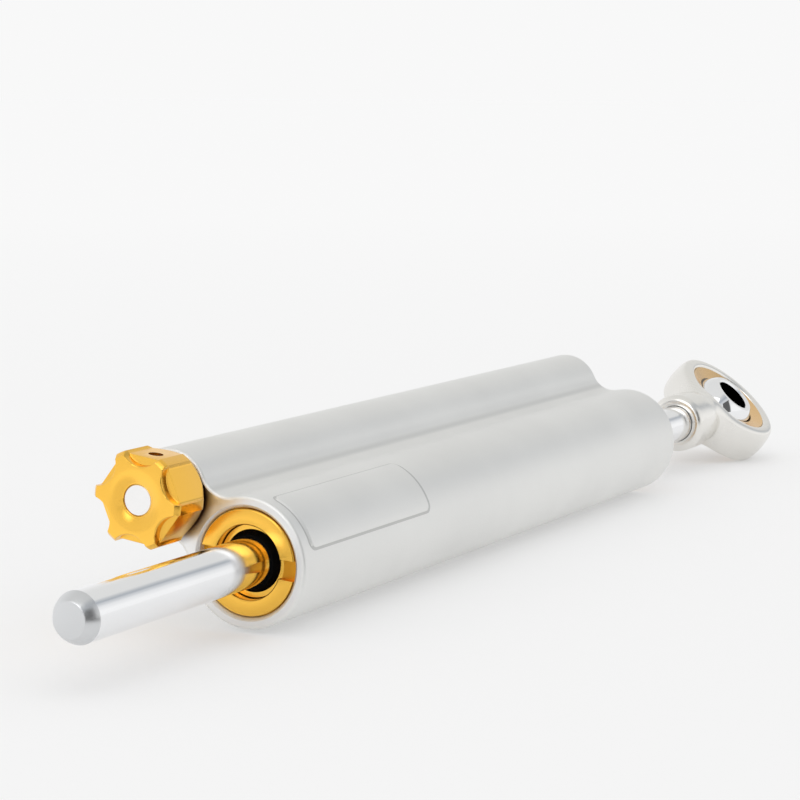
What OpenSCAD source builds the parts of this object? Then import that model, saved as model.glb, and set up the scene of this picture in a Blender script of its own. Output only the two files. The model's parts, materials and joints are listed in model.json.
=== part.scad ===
// Linear steering damper for a motorcycle: a twin-tube body with a through rod,
// a hand-turned barrel valve in the side tube and a spherical rod end on the rod.
// Lengths are in millimetres. Each piece is drawn in the damper's own plane: x runs from
// the front face of the body along the rod, y from the main tube to the side tube.
// The whole is then laid over about the rod, with its origin halfway along the body.

/* [Body] */
// length of the twin-tube body
body_len = 200; // [190:1:230]
// outside diameter of the main tube
main_d = 27; // [26.5:0.5:30]
// outside diameter of the side tube
side_d = 18; // [17.5:0.5:20]
// distance between the two tube axes
side_offset = 22; // [21.5:0.5:26]
// radius of the hollow blend between the tubes
blend_r = 6; // [4.5:0.5:7]
// chamfer around both end faces
edge = 0.8; // [0.4:0.1:1.2]
// tilt of the damper's plane about the rod, as it lies on a table
lay_angle = 36; // [0:1:45]

/* [Raised panel] */
// length of the raised panel
panel_len = 51.5; // [30:0.5:70]
// width of the raised panel, straight across
panel_w = 13.4; // [8:0.2:15]
// height of the panel above the tube
panel_h = 0.45; // [0.3:0.05:0.8]
// distance from the front face to the panel
panel_x = 3.5; // [2:0.5:10]
// angle of the middle of the panel around the main tube
panel_mid = 101; // [95:1:110]
// corner radius of the panel
panel_corner = 1.6; // [0.8:0.2:3]

/* [Rod and piston] */
// diameter of the through rod
rod_d = 10; // [9:0.5:10.5]
// length of rod showing in front of the body
rod_front = 61; // [58:1:80]
// length of rod showing behind the body, up to the rod end
rod_rear = 35; // [35:1:45]
// travel of the rod towards the front
travel_in = 33; // [20:1:33]
// travel of the rod towards the rear
travel_out = 52; // [30:1:52]
// length of the piston
piston_len = 16; // [14:1:18]
// diameter of the oil chamber
chamber_d = 21; // [20.4:0.2:21.4]

/* [Seal heads] */
// diameter of the bore that takes the gland nuts
gland_d = 22.1; // [21.9:0.1:22.3]
// chamfer at the mouth of that bore
mouth = 0.6; // [0.3:0.1:0.7]
// length of a gland nut
nut_len = 9; // [8:0.5:11]
// hole through a gland nut
nut_bore_d = 15.2; // [15:0.1:15.6]
// width of the two spanner slots in a gland nut
slot_w = 4; // [3:0.2:4.6]
// depth of the spanner slots
slot_depth = 1.8; // [1:0.1:2.4]
// angle of the spanner slots around the rod
slot_angle = -31; // [-90:1:90]
// depth of the seal carrier's nose below the front face
nose_x = 3; // [2.6:0.1:3.6]

/* [Adjuster knob] */
// diameter across the knob's lobes
knob_d = 20.2; // [19.6:0.2:21]
// distance across the knob's flats, which lie between the lobes
knob_core_d = 17.4; // [17:0.2:17.8]
// distance from the body to the knob's front face
knob_front = 12.4; // [11:0.2:14]
// gap between the knob and the body
knob_gap = 0.5; // [0.4:0.1:0.8]
// number of lobes
lobe_count = 6; // [6:1:6]
// angle of the first lobe
lobe_angle = 32; // [0:1:60]
// radius of the scallop between two lobes
scallop_r = 4.9; // [4.6:0.1:5.2]
// depth of the scallop below the lobe tips
scallop_depth = 3.1; // [2.8:0.1:3.3]
// depth of the ledge behind the scalloped front
ledge = 1.9; // [1.4:0.1:2.2]
// length of the taper at the back of the lobes
knob_taper = 2.4; // [1.5:0.1:3]
// diameter of the knob's back rim
knob_rim_d = 17.2; // [16.6:0.2:18]
// radius of the shallow dish in the knob's front
dish_r = 6.4; // [5.8:0.1:6.6]
// depth of that dish
dish_depth = 0.85; // [0.6:0.05:1]
// diameter of the valve spindle
spindle_d = 6.4; // [6.2:0.1:6.6]
// diameter of the valve barrel that the spindle turns
barrel_d = 6.8; // [6.2:0.2:7.2]
// deepest part of the barrel's tapering groove
groove_depth = 1.2; // [0.8:0.1:1.4]
// clicks per turn of the knob
clicks = 18; // [12:1:20]

/* [Rod end] */
// distance from the end of the rod end's shank to its eye
shank_len = 34.5; // [33:0.5:40]
// diameter of the shank
shank_d = 16; // [15:0.5:17]
// diameter of the barrel-shaped head at its middle
head_d = 33.6; // [33:0.2:35]
// thickness of the head between its flat faces
head_w = 11.5; // [11:0.1:12]
// radius of the head's barrel curve
crown_r = 19; // [18:0.5:24]
// turn of the rod end about the rod, out of the plane of the tubes
head_turn = 4.5; // [0:0.5:8]
// diameter of the race's seat in the head
race_d = 25.2; // [24.6:0.2:25.8]
// diameter of the ball
ball_d = 19.05; // [18.6:0.05:19.4]
// width of the ball
ball_w = 14; // [13:0.5:15]
// bore through the ball
eye_d = 10; // [8:0.5:10.5]
// lean of the ball in its race as it lies
ball_lean = 4.5; // [0:0.5:6]

/* [Fits] */
// radial room of a fixed piece in its seat
seat_gap = 0.02; // [0.01:0.01:0.03]
// radial room of a running fit
run_gap = 0.04; // [0.03:0.01:0.06]
// room between pieces that move past each other
clear = 0.3; // [0.25:0.05:0.35]

/* [Hidden] */
$fn = 96;
main_r = main_d / 2;
side_r = side_d / 2;
rod_r = rod_d / 2;
chamber_r = chamber_d / 2;
gland_r = gland_d / 2;
nut_bore_r = nut_bore_d / 2;
spindle_r = spindle_d / 2;
eye_r = eye_d / 2;
ball_r = ball_d / 2;
race_r = race_d / 2;
throat_r = rod_r + clear;
seated_r = gland_r - seat_gap;

// the blend's centre, set a hair closer than touching so that the surfaces cross
blend_bite = 0.05;
blend_main = main_r + blend_r - blend_bite;
blend_side = side_r + blend_r - blend_bite;
blend_y = (pow(blend_main, 2) - pow(blend_side, 2) + pow(side_offset, 2)) / (2 * side_offset);
blend_z = sqrt(pow(blend_main, 2) - pow(blend_y, 2));

// seal heads, from the front face inwards
clip_t = 1.2;
stop_room = clip_t + 0.8;
head_len = (body_len - travel_in - travel_out - piston_len - 2 * stop_room) / 2;
nut_recess = 0.3;
nut_edge = 0.25;
nut_relief_w = 0.2;
nut_relief_len = 1.5;
nose_r = nut_bore_r - 0.2;
wiper_r = nose_r - 1;
wiper_x = nose_x + 4.5;
lip_x = nose_x - 1.5;
seal_x = nut_len + 5;
seal_len = 4.5;
seal_r = rod_r + 2.8;
bush_space = 9;
bush_x = seal_x + seal_len + bush_space;
bush_r = rod_r + 1.2;
ring_x = bush_x - 5;
ring_w = 2.4;
ring_floor = gland_r - 1.8;
ring_r = (gland_r - ring_floor) / 2 - seat_gap;

// piston on the rod
piston_x = head_len + stop_room + travel_in;
piston_end = piston_x + piston_len;
piston_r = chamber_r - clear;
piston_bore_r = rod_r + seat_gap;
band_w = 6;
band_x = piston_x + (piston_len - band_w) / 2;
band_floor = piston_r - 1.5;
groove_r = rod_r - 0.6;
clip_r = rod_r + 1.6;
tip_r = rod_r * 0.69;
tip_len = 2.7;

// bore of the side tube
cart_r = side_r - 2.5;
pass_r = cart_r - 1;
collar_r = cart_r + 0.8;
collar_t = 2;
port_r = 1.75;
port_x = head_len + 2.5;
sleeve_x = port_x - 6;
sleeve_end = port_x + 8;
reservoir_x = sleeve_end + 32;

// adjuster, from the front face inwards
gland_len = 28;
spindle_bore_r = spindle_r + run_gap;
shoulder_x = 12;
spindle_collar_r = spindle_r + 1.3;
spindle_collar_t = 2.4;
retainer_r = spindle_collar_r + 0.2;
retainer_x = shoulder_x + spindle_collar_t + 2 * clear;
spindle_tail = retainer_x + 5;
spindle_front = -knob_front + dish_depth + 0.2;
spindle_seal_x = 8;
spindle_seal_w = 2.4;
spindle_seal_r = spindle_r + 1.4;
gland_ring_x = 22;
gland_ring_w = 1.3;
gland_ring_floor = cart_r - 0.9;
gland_ring_r = (cart_r - gland_ring_floor) / 2 - seat_gap;
stem_r = 2;
stem_x = spindle_tail - 12.5;

// metering barrel and its sleeve, around the front passage
barrel_r = barrel_d / 2;
barrel_x = sleeve_x + clear;
barrel_end = sleeve_end - clear;
barrel_bore_r = 1.5;
groove_w = 2.4;
groove_fade = 0.1;
groove_shift = (groove_depth + groove_fade) / 2;
cross_r = 1;
recess_w = 2 * port_r + 1;
recess_r = cart_r - 1.2;
meter_r = 0.9;
meter_angle = 90;

// click stop behind the knob
click_r = 4.9;
click_ball_r = 1;
click_depth = 6.5;
click_groove = 0.6;
click_angle = 90;

// knob
knob_r = knob_d / 2;
knob_core_r = knob_core_d / 2;
knob_bevel = 0.9;
scallop_c = knob_r - scallop_depth + scallop_r;
knob_rim_r = knob_rim_d / 2;
dish_floor_r = spindle_r + 0.3;
screw_x = -6.4;
screw_r = 1.5;
screw_angle = lobe_angle + 180 / lobe_count;
screw_top = knob_core_r - 1.5;
screw_hex_r = 0.87;

// compensator at the rear of the side tube
plug_x = body_len - 11;
plug_ring_x = plug_x + 3;
separator_len = 8;
separator_room = 10;
separator_x = body_len - port_x + separator_room;
separator_end = separator_x + separator_len;
separator_r = cart_r - clear;
separator_band_w = 3;
separator_band_x = separator_x + (separator_len - separator_band_w) / 2;
separator_floor = separator_r - 1.4;
spring_r = cart_r - 0.9;
spring_wire = 1.4;
socket_r = 2.3;

// rod end
shank_x = body_len + rod_rear;
eye_x = shank_x + shank_len;
thread_end = eye_x - head_d / 2 - 0.7;
shank_r = shank_d / 2;
shank_edge = 1.2;
hole_edge = 0.3;
head_r = head_d / 2;
head_half = head_w / 2;
neck_r = head_half - 0.6;
lead_h = 0.6;
lead_w = 0.5;
race_z = head_half - lead_h;
liner_t = 0.4;
liner_in_r = ball_r + run_gap;
liner_out_r = liner_in_r + liner_t;
race_in_r = liner_out_r + run_gap;
race_mouth_z = race_in_r * 0.4;
race_mouth_r = race_in_r * 0.91;
liner_z = race_mouth_z - 0.6;
eye_edge = 0.5;

// Places a piece drawn from the front face into the part's frame
module lay() {
    rotate([lay_angle, 0, 0])
        translate([-body_len / 2, 0, 0])
            children();
}

// Moves a piece from the rod axis to the side tube's axis
module on_side() {
    translate([0, side_offset, 0])
        children();
}

// Puts a front piece at the rear end of the body
module at_rear() {
    translate([body_len, 0, 0])
        mirror([1, 0, 0])
            children();
}

// A solid of revolution about x from points [radius, x]
module turned(outline) {
    rotate([0, 90, 0])
        rotate_extrude()
            polygon(outline);
}

// A round bar along x
module bar(x0, x1, r) {
    translate([x0, 0, 0])
        rotate([0, 90, 0])
            cylinder(h = x1 - x0, r = r);
}

// A hexagonal bar along x, r to its corners
module hex_bar(x0, x1, r) {
    translate([x0, 0, 0])
        rotate([0, 90, 0])
            cylinder(h = x1 - x0, r = r, $fn = 6);
}

// A sealing ring of round section around x
module round_ring(x, r, section) {
    translate([x, 0, 0])
        rotate([0, 90, 0])
            rotate_extrude()
                translate([r, 0])
                    circle(section);
}

// A plain sleeve along x
module sleeve(x0, x1, r_in, r_out) {
    turned([[r_in, x0], [r_out, x0], [r_out, x1], [r_in, x1]]);
}

function tube_outline(r) = [
    [0, 0], [r - edge, 0], [r, edge],
    [r, body_len - edge], [r - edge, body_len], [0, body_len]
];

function round_rect(w, h, r, n) = [
    for (c = [[1, 1, 0], [-1, 1, 90], [-1, -1, 180], [1, -1, 270]])
        for (k = [0 : n])
            [c[0] * (w / 2 - r) + r * cos(c[2] + 90 * k / n),
             c[1] * (h / 2 - r) + r * sin(c[2] + 90 * k / n)]
];

// The web between the tubes, hollowed on both sides and chamfered at the ends
module web() {
    cut = 1;
    difference() {
        rotate([90, 0, 90])
            linear_extrude(body_len)
                polygon([[0, 0], [blend_y, blend_z], [side_offset, 0], [blend_y, -blend_z]]);
        for (s = [-1, 1])
            translate([0, blend_y, s * blend_z])
                turned([
                    [0, -cut], [blend_r + edge + cut, -cut], [blend_r, edge],
                    [blend_r, body_len - edge], [blend_r + edge + cut, body_len + cut],
                    [0, body_len + cut]
                ]);
    }
}

// The bare raised panel on the main tube
module panel() {
    intersection() {
        bar(panel_x - 1, panel_x + panel_len + 1, main_r + panel_h);
        rotate([panel_mid, 0, 0])
            translate([panel_x + panel_len / 2, main_r * 0.7, 0])
                rotate([-90, 0, 0])
                    linear_extrude(main_r)
                        polygon(round_rect(panel_len, panel_w, panel_corner, 6));
    }
}

module main_bore() {
    cut = 1;
    turned([
        [0, -cut], [gland_r + mouth + cut, -cut], [gland_r, mouth], [gland_r, head_len],
        [chamber_r, head_len], [chamber_r, body_len - head_len],
        [gland_r, body_len - head_len], [gland_r, body_len - mouth],
        [gland_r + mouth + cut, body_len + cut], [0, body_len + cut]
    ]);
}

module side_bore() {
    cut = 1;
    turned([
        [0, -cut], [collar_r, -cut], [collar_r, collar_t], [cart_r, collar_t], [cart_r, sleeve_end],
        [pass_r, sleeve_end], [pass_r, reservoir_x], [cart_r, reservoir_x],
        [cart_r, body_len - collar_t], [collar_r, body_len - collar_t],
        [collar_r, body_len + cut], [0, body_len + cut]
    ]);
}

// Drilled passages from the oil chamber to the side tube
module ports() {
    start = chamber_r - 1;
    for (x = [port_x, body_len - port_x])
        translate([x, start, 0])
            rotate([-90, 0, 0])
                cylinder(h = side_offset - start, r = port_r);
}

module damper_body() {
    color([0.80, 0.80, 0.79])
        lay()
            difference() {
                union() {
                    turned(tube_outline(main_r));
                    on_side()
                        turned(tube_outline(side_r));
                    web();
                    panel();
                }
                main_bore();
                on_side()
                    side_bore();
                ports();
            }
}

// A slotted ring that screws into the body and holds the seal carrier, relieved at its outer rim
module gland_nut() {
    relief_r = seated_r - nut_relief_w;
    difference() {
        turned([
            [nut_bore_r + nut_edge, nut_recess], [relief_r - nut_edge, nut_recess],
            [relief_r, nut_recess + nut_edge], [relief_r, nut_recess + nut_relief_len],
            [seated_r, nut_recess + nut_relief_len], [seated_r, nut_len], [nut_bore_r, nut_len],
            [nut_bore_r, nut_recess + nut_edge]
        ]);
        for (turn = [0, 180])
            rotate([slot_angle + turn, 0, 0])
                translate([0, nut_bore_r - 1, -slot_w / 2])
                    cube([nut_recess + slot_depth, gland_r, slot_w]);
    }
}

// The carrier that holds the wiper, the rod seal and the guide bush
module seal_carrier() {
    turned([
        [wiper_r, nose_x], [nose_r, nose_x], [nose_r, nut_len], [seated_r, nut_len],
        [seated_r, ring_x], [ring_floor, ring_x], [ring_floor, ring_x + ring_w], [seated_r, ring_x + ring_w],
        [seated_r, head_len], [bush_r, head_len], [bush_r, bush_x], [throat_r, bush_x],
        [throat_r, seal_x + seal_len], [seal_r, seal_x + seal_len], [seal_r, seal_x], [throat_r, seal_x],
        [throat_r, wiper_x], [wiper_r, wiper_x]
    ]);
}

// A dust wiper with a lip that points outwards along the rod
module wiper() {
    lip_r = rod_r + run_gap;
    turned([
        [lip_r, lip_x], [lip_r + 0.4, lip_x], [wiper_r - seat_gap, nose_x + 0.4],
        [wiper_r - seat_gap, wiper_x], [throat_r + 0.3, wiper_x], [throat_r + 0.3, nose_x + 2],
        [lip_r, nose_x]
    ]);
}

// A grooved rod seal, open towards the oil
module rod_seal() {
    lip_r = rod_r + run_gap;
    wall = 0.9;
    turned([
        [lip_r, seal_x], [seal_r - seat_gap, seal_x], [seal_r - seat_gap, seal_x + seal_len],
        [seal_r - wall, seal_x + seal_len], [(seal_r + rod_r) / 2, seal_x + seal_len / 2],
        [lip_r + wall, seal_x + seal_len], [lip_r, seal_x + seal_len]
    ]);
}

module guide_bush() {
    sleeve(bush_x, head_len, rod_r + run_gap, bush_r - seat_gap);
}

module carrier_ring() {
    round_ring(ring_x + ring_w / 2, (gland_r + ring_floor) / 2, ring_r);
}

module gland_nut_front() {
    color([0.95, 0.70, 0.18])
        lay()
            gland_nut();
}

module gland_nut_rear() {
    color([0.95, 0.70, 0.18])
        lay()
            at_rear()
                gland_nut();
}

module seal_carrier_front() {
    color([0.92, 0.66, 0.16])
        lay()
            seal_carrier();
}

module seal_carrier_rear() {
    color([0.92, 0.66, 0.16])
        lay()
            at_rear()
                seal_carrier();
}

module wiper_front() {
    color([0.05, 0.05, 0.05])
        lay()
            wiper();
}

module wiper_rear() {
    color([0.05, 0.05, 0.05])
        lay()
            at_rear()
                wiper();
}

module rod_seal_front() {
    color([0.10, 0.10, 0.10])
        lay()
            rod_seal();
}

module rod_seal_rear() {
    color([0.10, 0.10, 0.10])
        lay()
            at_rear()
                rod_seal();
}

module guide_bush_front() {
    color([0.55, 0.45, 0.30])
        lay()
            guide_bush();
}

module guide_bush_rear() {
    color([0.55, 0.45, 0.30])
        lay()
            at_rear()
                guide_bush();
}

module carrier_ring_front() {
    color([0.08, 0.08, 0.08])
        lay()
            carrier_ring();
}

module carrier_ring_rear() {
    color([0.08, 0.08, 0.08])
        lay()
            at_rear()
                carrier_ring();
}

// The through rod, with a groove for each piston clip
module piston_rod() {
    back = piston_end + clip_t;
    color([0.85, 0.86, 0.88])
        lay()
            turned([
                [0, -rod_front], [tip_r, -rod_front], [rod_r, -rod_front + tip_len],
                [rod_r, piston_x - clip_t], [groove_r, piston_x - clip_t], [groove_r, piston_x],
                [rod_r, piston_x], [rod_r, piston_end], [groove_r, piston_end], [groove_r, back],
                [rod_r, back], [rod_r, thread_end - 1.5], [rod_r - 0.7, thread_end - 0.8],
                [0, thread_end - 0.8]
            ]);
}

module piston() {
    color([0.70, 0.70, 0.72])
        lay()
            turned([
                [piston_bore_r, piston_x], [piston_r, piston_x], [piston_r, band_x], [band_floor, band_x],
                [band_floor, band_x + band_w], [piston_r, band_x + band_w],
                [piston_r, piston_end], [piston_bore_r, piston_end]
            ]);
}

// The sliding band around the piston
module piston_band() {
    color([0.35, 0.30, 0.25])
        lay()
            sleeve(band_x + run_gap, band_x + band_w - run_gap, band_floor + run_gap, chamber_r - run_gap);
}

// A spring clip that sits in a groove of the rod
module piston_clip(x) {
    opening = 2.4;
    difference() {
        sleeve(x, x + clip_t, groove_r + seat_gap, clip_r);
        translate([x - 1, 0, -opening / 2])
            cube([clip_t + 2, clip_r + 1, opening]);
    }
}

module piston_clip_front() {
    color([0.30, 0.30, 0.32])
        lay()
            piston_clip(piston_x - clip_t);
}

module piston_clip_rear() {
    color([0.30, 0.30, 0.32])
        lay()
            piston_clip(piston_end);
}

// Places a piece at the eye, in the plane of the rod end, with a lean of its own
module in_eye(lean = 0) {
    translate([eye_x, 0, 0])
        rotate([head_turn + lean, 0, 0])
            children();
}

// A flat-ended slice through the middle of a ball
module ball_zone(r, half) {
    intersection() {
        sphere(r);
        translate([0, 0, -half])
            cylinder(h = 2 * half, r = r + 1);
    }
}

// The rod end's head without its seat, barrel-shaped between two flat faces
module head_blank() {
    rotate_extrude()
        intersection() {
            translate([head_r - crown_r, 0])
                circle(crown_r);
            translate([0, -head_half])
                square([head_d, head_w]);
        }
}

// The race's seat through the head, with a bevel at both mouths
module race_seat() {
    cut = 1;
    translate([0, 0, -head_w])
        cylinder(h = 2 * head_w, r = race_r);
    for (side = [0, 180])
        rotate([side, 0, 0])
            translate([0, 0, race_z])
                cylinder(h = lead_h + cut, r1 = race_r, r2 = race_r + lead_w * (1 + cut / lead_h));
}

// The rod end: a threaded shank that necks into a barrel-shaped head
module rod_end_housing() {
    neck_x = shank_x + 12;
    hole_r = rod_r + seat_gap;
    color([0.84, 0.83, 0.80])
        lay()
            difference() {
                union() {
                    turned([
                        [0, shank_x], [shank_r - shank_edge, shank_x], [shank_r, shank_x + shank_edge],
                        [shank_r, neck_x], [neck_r, eye_x - race_r], [0, eye_x - race_r]
                    ]);
                    in_eye()
                        head_blank();
                }
                in_eye()
                    race_seat();
                turned([
                    [0, shank_x - 1], [hole_r + hole_edge + 1, shank_x - 1],
                    [hole_r, shank_x + hole_edge], [hole_r, thread_end], [0, thread_end]
                ]);
            }
}

// The race that is fixed in the head
module rod_end_race() {
    seat = race_r - seat_gap;
    color([0.85, 0.62, 0.38])
        lay()
            in_eye()
                difference() {
                    rotate_extrude()
                        polygon([
                            [0, -race_mouth_z], [race_mouth_r, -race_mouth_z], [seat, -race_z],
                            [seat, race_z], [race_mouth_r, race_mouth_z], [0, race_mouth_z]
                        ]);
                    sphere(race_in_r);
                }
}

// The sliding liner between the ball and the race
module rod_end_liner() {
    color([0.25, 0.24, 0.22])
        lay()
            in_eye(ball_lean)
                difference() {
                    ball_zone(liner_out_r, liner_z);
                    sphere(liner_in_r);
                }
}

module rod_end_ball() {
    cut = 1;
    color([0.80, 0.82, 0.85])
        lay()
            in_eye(ball_lean)
                difference() {
                    ball_zone(ball_r, ball_w / 2);
                    translate([0, 0, -ball_w])
                        cylinder(h = 2 * ball_w, r = eye_r);
                    for (side = [0, 180])
                        rotate([side, 0, 0])
                            translate([0, 0, ball_w / 2 - eye_edge])
                                cylinder(h = eye_edge + cut, r1 = eye_r, r2 = eye_r + eye_edge + cut);
                }
}

// The turned blank of the knob: scallops cut its front, and flats lie behind a ledge
module knob_blank() {
    back = -knob_gap;
    intersection() {
        turned([
            [0, -knob_front], [knob_r - knob_bevel, -knob_front], [knob_r, -knob_front + knob_bevel],
            [knob_r, back - knob_taper], [knob_rim_r, back], [0, back]
        ]);
        union() {
            difference() {
                bar(-knob_front - 1, 1, knob_r + 1);
                for (k = [0 : lobe_count - 1])
                    rotate([lobe_angle + (k + 0.5) * 360 / lobe_count, 0, 0])
                        translate([0, scallop_c, 0])
                            bar(-knob_front - 2, 2, scallop_r);
            }
            rotate([lobe_angle + 90, 0, 0])
                hex_bar(-knob_front + ledge, 1, knob_core_r / cos(180 / lobe_count));
        }
    }
}

module adjuster_knob() {
    dish_slope = (dish_r - dish_floor_r) / dish_depth;
    groove = click_ball_r - 0.1;
    color([0.96, 0.69, 0.17])
        lay()
            on_side()
                difference() {
                    knob_blank();
                    turned([
                        [0, -knob_front - 0.2], [dish_r + 0.2 * dish_slope, -knob_front - 0.2],
                        [dish_floor_r, -knob_front + dish_depth], [0, -knob_front + dish_depth]
                    ]);
                    bar(-knob_front - 1, 1, spindle_r + seat_gap);
                    sleeve(-knob_gap - click_groove, 1, click_r - groove, click_r + groove);
                    for (k = [0 : clicks - 1])
                        rotate([click_angle + k * 360 / clicks, 0, 0])
                            translate([0, click_r, 0])
                                bar(-knob_gap - click_groove - 0.3, -knob_gap, 0.6);
                    rotate([screw_angle, 0, 0])
                        translate([screw_x, 0, 0])
                            rotate([-90, 0, 0])
                                cylinder(h = knob_r + 1, r = screw_r + seat_gap);
                }
}

// The small screw that holds the knob on its spindle
module knob_screw() {
    start = spindle_r + seat_gap;
    color([0.15, 0.15, 0.16])
        lay()
            on_side()
                rotate([screw_angle, 0, 0])
                    translate([screw_x, start, 0])
                        rotate([-90, 0, 0])
                            difference() {
                                cylinder(h = screw_top - start, r = screw_r);
                                translate([0, 0, screw_top - start - 1.6])
                                    cylinder(h = 2, r = screw_hex_r, $fn = 6);
                            }
}

// The spindle that the knob turns: its tail holds the stem of the valve barrel
module adjuster_spindle() {
    bevel = 0.2;
    collar_x = shoulder_x + clear;
    color([0.90, 0.90, 0.92])
        lay()
            on_side()
                turned([
                    [0, spindle_front], [spindle_r - bevel, spindle_front], [spindle_r, spindle_front + bevel],
                    [spindle_r, collar_x], [spindle_collar_r, collar_x],
                    [spindle_collar_r, collar_x + spindle_collar_t], [spindle_r, collar_x + spindle_collar_t],
                    [spindle_r, spindle_tail], [stem_r + seat_gap, spindle_tail],
                    [stem_r + seat_gap, stem_x], [0, stem_x]
                ]);
}

// The screwed-in gland that carries the spindle
module adjuster_gland() {
    fixed_r = cart_r - seat_gap;
    color([0.62, 0.62, 0.64])
        lay()
            on_side()
                difference() {
                    turned([
                        [spindle_bore_r, 0], [collar_r - seat_gap, 0], [collar_r - seat_gap, collar_t],
                        [fixed_r, collar_t], [fixed_r, gland_ring_x], [gland_ring_floor, gland_ring_x],
                        [gland_ring_floor, gland_ring_x + gland_ring_w], [fixed_r, gland_ring_x + gland_ring_w],
                        [fixed_r, gland_len], [retainer_r, gland_len], [retainer_r, shoulder_x],
                        [spindle_bore_r, shoulder_x], [spindle_bore_r, spindle_seal_x + spindle_seal_w],
                        [spindle_seal_r, spindle_seal_x + spindle_seal_w], [spindle_seal_r, spindle_seal_x],
                        [spindle_bore_r, spindle_seal_x]
                    ]);
                    rotate([click_angle, 0, 0])
                        translate([0, click_r, 0])
                            bar(-1, click_depth, click_ball_r + run_gap);
                }
}

module gland_ring() {
    color([0.08, 0.08, 0.08])
        lay()
            on_side()
                round_ring(gland_ring_x + gland_ring_w / 2, (cart_r + gland_ring_floor) / 2, gland_ring_r);
}

module spindle_ring() {
    section = (spindle_seal_r - spindle_bore_r) / 2 - seat_gap / 2;
    color([0.08, 0.08, 0.08])
        lay()
            on_side()
                round_ring(spindle_seal_x + spindle_seal_w / 2, spindle_seal_r - section - seat_gap / 2, section);
}

// The plug that keeps the spindle in its gland and steadies the barrel's stem
module spindle_retainer() {
    color([0.55, 0.55, 0.57])
        lay()
            on_side()
                difference() {
                    sleeve(retainer_x, gland_len, stem_r + run_gap, retainer_r - seat_gap);
                    bar(retainer_x - 1, spindle_tail + 0.8, spindle_r + clear);
                }
}

// The barrel that meters the oil: a groove of growing depth, drained through its bored end
module valve_barrel() {
    groove_x = port_x - groove_w / 2;
    cut = 1;
    color([0.78, 0.78, 0.80])
        lay()
            on_side()
                difference() {
                    turned([
                        [0, stem_x], [stem_r, stem_x], [stem_r, barrel_x], [barrel_r, barrel_x],
                        [barrel_r, barrel_end], [barrel_bore_r, barrel_end],
                        [barrel_bore_r, groove_x], [0, groove_x]
                    ]);
                    difference() {
                        bar(groove_x, groove_x + groove_w, barrel_r + cut);
                        translate([-cut, groove_shift, 0])
                            bar(groove_x, groove_x + groove_w + 2 * cut, barrel_r - groove_shift + groove_fade);
                    }
                    translate([port_x, 0, 0])
                        rotate([90, 0, 0])
                            cylinder(h = barrel_r, r = cross_r);
                }
}

// The fixed sleeve around the barrel, with one small hole that faces the groove
module valve_sleeve() {
    fixed_r = cart_r - seat_gap;
    color([0.72, 0.58, 0.30])
        lay()
            on_side()
                difference() {
                    turned([
                        [barrel_r + run_gap, sleeve_x], [fixed_r, sleeve_x], [fixed_r, port_x - recess_w / 2],
                        [recess_r, port_x - recess_w / 2], [recess_r, port_x + recess_w / 2],
                        [fixed_r, port_x + recess_w / 2], [fixed_r, sleeve_end], [barrel_r + run_gap, sleeve_end]
                    ]);
                    rotate([meter_angle, 0, 0])
                        translate([port_x, 0, 0])
                            rotate([-90, 0, 0])
                                cylinder(h = cart_r, r = meter_r);
                }
}

module click_ball() {
    color([0.80, 0.80, 0.82])
        lay()
            on_side()
                rotate([click_angle, 0, 0])
                    translate([click_ball_r - knob_gap - clear, click_r, 0])
                        sphere(click_ball_r);
}

module click_spring() {
    start = 2 * click_ball_r - knob_gap - clear;
    color([0.60, 0.60, 0.62])
        lay()
            on_side()
                rotate([click_angle, 0, 0])
                    translate([0, click_r, 0])
                        bar(start, click_depth, click_ball_r - 0.1);
}

module separator_piston() {
    color([0.70, 0.70, 0.72])
        lay()
            on_side()
                turned([
                    [0, separator_x], [separator_r, separator_x], [separator_r, separator_band_x],
                    [separator_floor, separator_band_x], [separator_floor, separator_band_x + separator_band_w],
                    [separator_r, separator_band_x + separator_band_w], [separator_r, separator_end],
                    [0, separator_end]
                ]);
}

module separator_band() {
    color([0.10, 0.10, 0.10])
        lay()
            on_side()
                sleeve(separator_band_x, separator_band_x + separator_band_w,
                       separator_floor + seat_gap, cart_r - run_gap);
}

// The spring behind the separator piston, drawn as a plain sleeve of the coil's size
module compensator_spring() {
    color([0.60, 0.60, 0.62])
        lay()
            on_side()
                sleeve(separator_end, plug_x, spring_r - spring_wire, spring_r);
}

module end_plug() {
    fixed_r = cart_r - seat_gap;
    back = body_len - nut_recess;
    color([0.74, 0.74, 0.75])
        lay()
            on_side()
                difference() {
                    turned([
                        [0, plug_x], [fixed_r, plug_x], [fixed_r, plug_ring_x], [gland_ring_floor, plug_ring_x],
                        [gland_ring_floor, plug_ring_x + gland_ring_w], [fixed_r, plug_ring_x + gland_ring_w],
                        [fixed_r, body_len - collar_t], [collar_r - seat_gap, body_len - collar_t],
                        [collar_r - seat_gap, back - nut_edge], [collar_r - seat_gap - nut_edge, back], [0, back]
                    ]);
                    hex_bar(back - 4, back + 1, socket_r);
                }
}

module plug_ring() {
    color([0.08, 0.08, 0.08])
        lay()
            on_side()
                round_ring(plug_ring_x + gland_ring_w / 2, (cart_r + gland_ring_floor) / 2, gland_ring_r);
}

damper_body();
gland_nut_front();
gland_nut_rear();
seal_carrier_front();
seal_carrier_rear();
wiper_front();
wiper_rear();
rod_seal_front();
rod_seal_rear();
guide_bush_front();
guide_bush_rear();
carrier_ring_front();
carrier_ring_rear();
piston_rod();
piston();
piston_band();
piston_clip_front();
piston_clip_rear();
rod_end_housing();
rod_end_race();
rod_end_liner();
rod_end_ball();
adjuster_knob();
knob_screw();
adjuster_spindle();
adjuster_gland();
gland_ring();
spindle_ring();
spindle_retainer();
valve_barrel();
valve_sleeve();
click_ball();
click_spring();
separator_piston();
separator_band();
compensator_spring();
end_plug();
plug_ring();
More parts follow.
